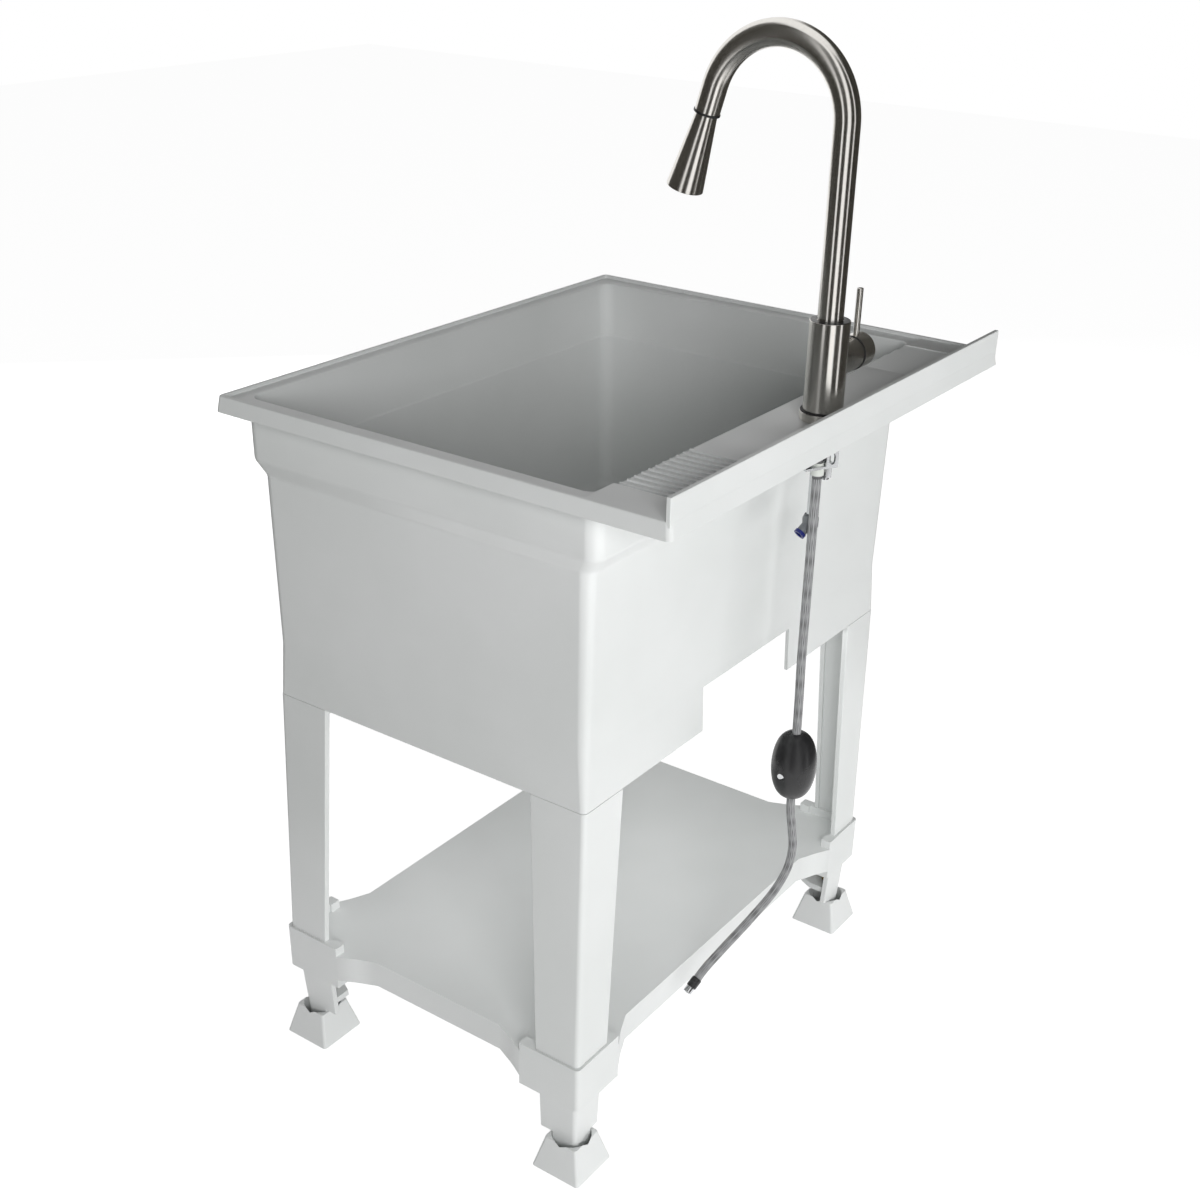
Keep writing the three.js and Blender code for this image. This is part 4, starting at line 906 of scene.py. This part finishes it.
# %% Sizes of the faucet
FLANGE_RADIUS = 24.4
FLANGE_LOW = 866.3
FLANGE_HIGH = 875.3
SEAL_RADIUS = 24.0
SEAL_LOW = 875.6
SEAL_HIGH = 876.6
BODY_LOW = 876.9
BODY_TOP = 970.9
BODY_RADIUS = 21.4
BUSH_RADIUS = 20.6
ARM_HEIGHT = 925.0
ARM_RADIUS = 17.6
CAP_RADIUS = 18.5
CAP_END = 74.0
PIVOT = 33.0
SEAM_RADIUS = 25.4
SEAM_GAP = 0.3
SPOUT_FOOT = 905.0
SPOUT_RADIUS = 13.5
SPOUT_SIDES = 56
SPOUT_WALL = 2.3
BORE_DEPTH = 20
RISE_STEPS = 8
ARC_HEIGHT = 1159.7
ARC_RADIUS = 78.0
ARC_TURN = math.radians(163)
ARC_STEPS = 48
NOSE = 26.0
HEAD_START = 2.8
HEAD_LENGTH = 79.0
NECK_RADIUS = 10.2
NECK_LENGTH = 16

sideways = Matrix.Translation((0, FAUCET_Y, ARM_HEIGHT)) @ Matrix.Rotation(-math.pi / 2, 4, "Y")
nose_direction = Vector((0, -math.sin(ARC_TURN), math.cos(ARC_TURN)))


def spout_line(low, nose):
    """The spout's centre line, from a height up over the arch and down its nose."""
    line = [Vector((0, FAUCET_Y, low + (ARC_HEIGHT - low) * i / RISE_STEPS)) for i in range(RISE_STEPS)]
    for i in range(ARC_STEPS + 1):
        angle = ARC_TURN * i / ARC_STEPS
        y = FAUCET_Y - ARC_RADIUS * (1 - math.cos(angle))
        line.append(Vector((0, y, ARC_HEIGHT + ARC_RADIUS * math.sin(angle))))
    if nose:
        line.append(line[-1] + nose_direction * nose)
    return line


def on_sphere(radius, away):
    """How far along the arm a sphere round the pivot lies, at a distance from the arm's axis."""
    return PIVOT + math.sqrt(radius**2 - away**2)


nose_end = spout_line(SPOUT_FOOT, NOSE)[-1]
nose_turn = Vector((0, 0, 1)).rotation_difference(nose_direction).to_matrix().to_4x4()
along_nose = Matrix.Translation(nose_end) @ nose_turn
print("spout ends at", tuple(round(x, 1) for x in nose_end))

# %% [markdown]
# From the deck up come a flange, a thin rubber seal, the body and a black
# bush. The arm is spun by itself and joined to the body. Its round end is
# part of a sphere round the control's pivot.

# %% Flange, seal, body and bush
flange_bm = spun(ring_profile(0, FLANGE_RADIUS, FLANGE_LOW, FLANGE_HIGH), 0.4, on_axis)
finish(flange_bm, "flange", "stand", steel, replaces=["faucet_flange"])
seal_bm = spun(ring_profile(8, SEAL_RADIUS, SEAL_LOW, SEAL_HIGH), 0.3, on_axis)
finish(seal_bm, "seal", "stand", rubber, replaces=["faucet_seal"])

body_bm = spun(ring_profile(0, BODY_RADIUS, BODY_LOW, BODY_TOP), 0.4, on_axis)
arm_profile = [(0, 8), (ARM_RADIUS, 8)]
arm_profile += [(away, on_sphere(SEAM_RADIUS, away)) for away in (ARM_RADIUS, 16.5, 15.6, 14.9)]
arm_profile += [(14.9, 22), (0, 22)]
combine(body_bm, spun(arm_profile, 0.2, sideways))
finish(body_bm, "faucet_body_and_arm", "stand", steel, replaces=["faucet_body"])

bush_bm = spun(ring_profile(13.9, BUSH_RADIUS, BODY_TOP - 0.6, BODY_TOP + 0.4), 0.2, on_axis)
finish(bush_bm, "bush", "stand", black, replaces=["swivel_bush"])

# %% [markdown]
# The control's cap is hollow where it slides over the round end of the arm.
# A narrow band round that open end is painted black, as painted shade of the
# seam between cap and arm. The lever is a plain rod that stands in the cap,
# and a set screw below holds it.

# %% Cap and lever
SEAM_SHADE_WIDTH = 1.4
STEM_HOLE = 3.3
STEM_END = 67.3
LEVER_RADIUS = 3.5
LEVER_LOW = 937.5
LEVER_TOP = 992
SCREW_HOLE = 2.4
hollow = SEAM_RADIUS + SEAM_GAP
cap_start = on_sphere(hollow, CAP_RADIUS)
cap_profile = [(0, CAP_END), (CAP_RADIUS, CAP_END), (CAP_RADIUS, cap_start + SEAM_SHADE_WIDTH)]
cap_profile += [(away, on_sphere(hollow, away)) for away in (CAP_RADIUS, 16, 13, 10, 7, STEM_HOLE)]
cap_profile += [(STEM_HOLE, STEM_END), (0, STEM_END)]
cap_bm = spun(cap_profile, 0.5, sideways)
lever_at = Matrix.Translation((-61.5, FAUCET_Y, 0))
combine(cap_bm, rod(SCREW_HOLE, 900, 915, lever_at, 24), "DIFFERENCE")
cap = finish(cap_bm, "control_cap", "control_tilt", steel, replaces=["handle_cap"])
# Painted shade: the cap's faces next to its seam with the arm get the black rubber.
cap.data.materials.append(rubber)
for face in cap.data.polygons:
    if face.center.x > -(cap_start + SEAM_SHADE_WIDTH) * MM:
        face.material_index = 1
lever_bm = spun(ring_profile(0, LEVER_RADIUS, LEVER_LOW, LEVER_TOP), 0.5, lever_at, 32)
finish(lever_bm, "lever", "control_tilt", steel, replaces=["lever_rod"])

# %% [markdown]
# The spout is a tube along its centre line. Its end face is inset and pushed
# in, so that the neck of the spray head has a bore to slide into. Inset works
# in the plane of a face's normal, so the normals are worked out first.

# %% Spout
spout_bm = tube(spout_line(SPOUT_FOOT, NOSE), SPOUT_RADIUS, SPOUT_SIDES)
bmesh.ops.recalc_face_normals(spout_bm, faces=spout_bm.faces)
spout_bm.faces.ensure_lookup_table()
mouth_face = spout_bm.faces[-1]
bmesh.ops.inset_individual(spout_bm, faces=[mouth_face], thickness=SPOUT_WALL)
bore_end = bmesh.ops.extrude_discrete_faces(spout_bm, faces=[mouth_face])["faces"][0]
bmesh.ops.translate(spout_bm, verts=bore_end.verts, vec=-BORE_DEPTH * nose_direction)
finish(spout_bm, "spout", "spout", steel, replaces=["spout_tube"], flat=False)

# %% [markdown]
# A black ring ends the spout. The spray head is a cone with a neck above it
# and a rim round a black face. Its jets are short pegs in three circles.

# %% Spray head, its ring and its nozzle
JET_RADIUS = 0.8
JET_SIDES = 10
JET_CIRCLES = ((4.5, 6), (8.5, 12), (12.5, 18))
head_end = HEAD_START + HEAD_LENGTH
end_ring_bm = spun(ring_profile(11.9, 14.2, 0.3, 2.5), 0.3, along_nose)
finish(end_ring_bm, "spout_ring", "spout", black, replaces=["spout_end_ring"])
head_profile = [
    (0, -NECK_LENGTH),
    (NECK_RADIUS, -NECK_LENGTH),
    (NECK_RADIUS, HEAD_START),
    (11.6, HEAD_START),
    (19.6, head_end - 5),
    (20.1, head_end),
    (18.1, head_end),
    (18.1, head_end - 6),
    (0, head_end - 6),
]
finish(spun(head_profile, 0.35, along_nose), "spray_shell", "spray", steel, replaces=["spray_head"])
nozzle_profile = [
    (0, head_end - 6.2),
    (17.7, head_end - 6.2),
    (17.7, head_end - 2),
    (15.8, head_end - 1.2),
    (0, head_end - 1.2),
]
nozzle_bm = spun(nozzle_profile, 0.2, along_nose)
for circle_radius, count in JET_CIRCLES:
    for i in range(count):
        jet = Matrix.Rotation(math.tau * i / count, 4, "Z") @ Matrix.Translation((circle_radius, 0, 0))
        rod(JET_RADIUS, head_end - 2, head_end - 0.3, along_nose @ jet, JET_SIDES, nozzle_bm)
finish(nozzle_bm, "spray_face", "spray", black, replaces=["spray_nozzle"])

# %% [markdown]
# The spray head hangs on its hose. At rest only a few millimetres of that
# hose lie between the spout and the head's neck, all inside the spout. The
# hose pulls out long when the head is drawn down. The piece is a tube of many
# rings, and rides on no body.

# %% Hose inside the nose
STUB_STEPS = 90
STUB_GAP = 0.3
arc_end = spout_line(SPOUT_FOOT, 0)[-1]
stub_low = arc_end + nose_direction * STUB_GAP
stub_high = nose_end - nose_direction * (NECK_LENGTH + STUB_GAP)
stub_line = [stub_low.lerp(stub_high, i / STUB_STEPS) for i in range(STUB_STEPS + 1)]
stub_bm = tube(stub_line, HOSE_RADIUS, HOSE_SIDES)
stub = finish(stub_bm, "nose_hose", None, braid_material, replaces=["hose_stub"], flat=False)
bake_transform(stub)

# %% [markdown]
# ## The hose weight and the hose end
# The weight is an egg of black plastic in two halves, which a screw clamps
# round the hose. Each half is a profile spun through half a turn.

# %% Weight
WEIGHT_X = -4.0
WEIGHT_MIDDLE = 439.5
WEIGHT_TALL = 43.5
WEIGHT_RADIUS = 27.0
WEIGHT_BORE = 5.85
WEIGHT_SPLIT = 0.5
WEIGHT_TURN = math.radians(20)
EGG_POWER = 0.7
EGG_STEPS = 30
CLAMP_HOLE = 2.5
CLAMP_SEAT = 4.4
reach = math.degrees(math.acos((WEIGHT_BORE / WEIGHT_RADIUS) ** (1 / EGG_POWER)))
egg_profile = []
for i in range(EGG_STEPS + 1):
    bend = math.radians(reach * (2 * i / EGG_STEPS - 1))
    radius = WEIGHT_RADIUS * math.cos(bend) ** EGG_POWER
    egg_profile.append((radius, WEIGHT_MIDDLE + WEIGHT_TALL * math.sin(bend)))
weight_place = Matrix.Translation((WEIGHT_X, FAUCET_Y, 0)) @ Matrix.Rotation(WEIGHT_TURN, 4, "Z")
screw_lie = Matrix.Translation((-14, -11.5, 433)) @ Matrix.Rotation(math.pi / 2, 4, "Y")
for side, name in ((1, "front"), (-1, "rear")):
    half_turn = Matrix.Rotation(-side * math.pi / 2, 4, "Z")
    apart = Matrix.Translation((side * WEIGHT_SPLIT / 2, 0, 0)) @ half_turn
    half_bm = spun(egg_profile, 0.5, apart, 40, math.pi)
    combine(half_bm, rod(CLAMP_HOLE, -0.3, 60, screw_lie, 24), "DIFFERENCE")
    if side > 0:
        combine(half_bm, rod(CLAMP_SEAT, 34, 70, screw_lie, 32), "DIFFERENCE")
    half_bm.transform(weight_place)
    half = finish(half_bm, "weight_" + name, "hose_run", black, replaces=["weight_half_" + name])

# %% [markdown]
# The hose ends in a black sleeve and a plated ferrule. Both are short rings,
# turned from straight up into the direction of the hose's last stretch.

# %% Sleeve and ferrule at the hose's end
end_point = Vector(hose_route[-1])
end_direction = (end_point - Vector(hose_route[-2])).normalized()
end_turn = Vector((0, 0, 1)).rotation_difference(end_direction).to_matrix().to_4x4()
at_hose_end = Matrix.Translation(end_point) @ end_turn
sleeve_bm = spun(ring_profile(3, 6.4, 0.3, 13.3), 0.8, at_hose_end, 40)
ferrule_bm = spun(ring_profile(3, 5.6, 13.6, 21.6), 0.6, at_hose_end, 40)
hose_end_pieces = [
    finish(sleeve_bm, "end_sleeve", "hose_run", black, replaces=["hose_sleeve"]),
    finish(ferrule_bm, "end_ferrule", "hose_run", chrome, replaces=["hose_ferrule"]),
]

# %% [markdown]
# The hose hangs from the deck, and its lower part rises when the spray head
# is pulled out. It is one tube along its route, and rides on no body.

# %% Make the hanging hose
hose_bm = tube(hose_line, HOSE_RADIUS, HOSE_SIDES)
hose = finish(hose_bm, "braided_hose", None, braid_material, ["hanging_hose"], flat=False)
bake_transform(hose)

# %% [markdown]
# ## Small fixings
# For the plain fixings under the deck and the drain, rounded copies of their
# solids are enough.

# %% Rounded fixings
DRAIN_CORNER = math.radians(30)
rounded_copy("bracket", "stand", chrome, 0.4)
rounded_copy("drain_body", "stand", chrome, 0.4, DRAIN_CORNER)
rounded_copy("drain_basket", "basket", chrome, 0.3, DRAIN_CORNER)
rounded_copy("outlet_fitting", "stand", grey, 0.4)
rounded_copy("outlet_ring", "stand", blue, 0.3)
for name in ("outlet_tube", "faucet_stud", "stud_nut"):
    rounded_copy(name, "stand", chrome, 0.4)
rounded_copy("drain_locknut", "stand", nylon, 0.5)

# %% [markdown]
# ## Studio
# A plain pale floor and a white surround. The floor keeps the shadow of the
# sink. What the camera and shiny pieces see of the floor and surround is made
# white in their own nodes, and not with more light on the sink.

# %% Floor and surround


def seen_directly(tree):
    """1 for rays from the camera, a mirror or glass, and 0 for light that only scatters."""
    path = node(tree, "ShaderNodeLightPath").outputs
    shiny = maths(tree, "ADD", path["Is Glossy Ray"], path["Is Transmission Ray"])
    return maths(tree, "ADD", path["Is Camera Ray"], shiny, clamp=True)


FLOOR_SIZE = 8.0
FLOOR_GLOW = 0.93
WORLD_LIGHT = 0.12
floor_material = bpy.data.materials.new("pale floor")
floor_material.use_nodes = True
floor_nodes = floor_material.node_tree
floor_nodes.nodes.clear()
scattered = node(floor_nodes, "ShaderNodeBsdfDiffuse", {"Color": (0.8, 0.8, 0.8, 1)})
paler = node(floor_nodes, "ShaderNodeBsdfDiffuse", {"Color": (0.35, 0.35, 0.35, 1)})
glow = node(floor_nodes, "ShaderNodeEmission", {"Color": (1, 1, 1, 1), "Strength": FLOOR_GLOW})
shown = node(floor_nodes, "ShaderNodeAddShader", {0: paler.outputs[0], 1: glow.outputs[0]})
choice = node(
    floor_nodes,
    "ShaderNodeMixShader",
    {0: seen_directly(floor_nodes), 1: scattered.outputs[0], 2: shown.outputs[0]},
)
node(floor_nodes, "ShaderNodeOutputMaterial", {"Surface": choice.outputs[0]})
floor_bm = bmesh.new()
bmesh.ops.create_grid(floor_bm, x_segments=1, y_segments=1, size=FLOOR_SIZE)
floor = new_piece(floor_bm, "floor", floor_material)

world = bpy.data.worlds.new("surround")
scene.world = world
world.use_nodes = True
world_nodes = world.node_tree
world_nodes.nodes.clear()
seen_extra = maths(world_nodes, "MULTIPLY", seen_directly(world_nodes), 1 - WORLD_LIGHT)
strength = maths(world_nodes, "ADD", seen_extra, WORLD_LIGHT)
surround = node(world_nodes, "ShaderNodeBackground", {"Color": (1, 1, 1, 1), "Strength": strength})
node(world_nodes, "ShaderNodeOutputWorld", {"Surface": surround.outputs[0]})
print("floor and surround")

# %% [markdown]
# Steel only looks like steel when it has something dark to reflect. Tall dark
# cards stand round the faucet, with gaps where the white surround shows. They
# make the dark bands and bright streaks along the spout. The camera looks
# down, so what the spout reflects is low and near, and the cards stand close.
# They throw no shadow, and the camera looks past them. Each card is an
# upright line, spun through part of a turn from +X towards +Y.

# %% Dark cards
CARD_DISTANCE = 1.1
CARD_TOP = 3.0
CARD_STEPS = 12
CARD_COLOUR = (0.09, 0.085, 0.075, 1)
cards = [(-86, -10), (4, 34), (62, 92), (102, 206)]
card_bm = bmesh.new()
for first_angle, last_angle in cards:
    at = Matrix.Rotation(math.radians(first_angle), 3, "Z") @ Vector((CARD_DISTANCE, 0, 0))
    foot_point = card_bm.verts.new(at)
    top_point = card_bm.verts.new(at + Vector((0, 0, CARD_TOP)))
    upright = [foot_point, top_point, card_bm.edges.new((foot_point, top_point))]
    card_turn = math.radians(last_angle - first_angle)
    bmesh.ops.spin(card_bm, geom=upright, cent=ORIGIN, axis=UP, angle=card_turn, steps=CARD_STEPS)
card_bm.transform(Matrix.Translation((0, FAUCET_Y * MM, 0)))
matt = {"Base Color": CARD_COLOUR, "Roughness": 1.0, "Specular IOR Level": 0.0}
card = new_piece(card_bm, "dark_cards", new_material("dark card", matt)[0])
card.visible_camera = False
card.visible_diffuse = False
card.visible_transmission = False
card.visible_shadow = False
print("dark cards:", len(cards))

# %% [markdown]
# The light comes from the sides. A high soft lamp near the camera reaches into
# the basin at a low angle, and two wide low lamps light the back and the near
# side. So upright faces are bright, the back brighter than the near side, and
# the deck and the basin stay darker, as in the photograph. A third low lamp
# lights the front, which the photograph doesn't show, and a weak one under
# the tub lights the shelf. No lamp shows in a reflection.

# %% Lamps
# Each lamp is (name, place, point it is aimed at, width, height, power in watts).
lamps = [
    ("lamp_high", (2.7, 2.7, 1.95), (0.0, 0.0, 0.8), 1.6, 1.6, 84.0),
    ("lamp_low_back", (-0.3, 2.3, 0.45), (0.0, 0.0, 0.45), 2.6, 0.8, 24.0),
    ("lamp_low_near", (2.5, -0.3, 0.45), (0.0, 0.0, 0.45), 2.4, 0.8, 3.5),
    ("lamp_low_front", (-2.2, -2.2, 0.5), (0.0, 0.0, 0.5), 2.6, 0.6, 30.0),
    ("lamp_under_tub", (0.0, 0.0, 0.5), (0.0, 0.0, 0.1), 0.5, 0.4, 0.5),
]
for name, place, aim, width, height, power in lamps:
    lamp_data = bpy.data.lights.new(name, "AREA")
    lamp_data.shape = "RECTANGLE"
    lamp_data.size = width
    lamp_data.size_y = height
    lamp_data.energy = power
    lamp = bpy.data.objects.new(name, lamp_data)
    scene.collection.objects.link(lamp)
    lamp.location = place
    lamp.rotation_euler = (Vector(aim) - Vector(place)).to_track_quat("-Z", "Y").to_euler()
    lamp.visible_glossy = False
print("lamps:", [name for name, *_ in lamps])
scene.view_settings.view_transform = "Standard"
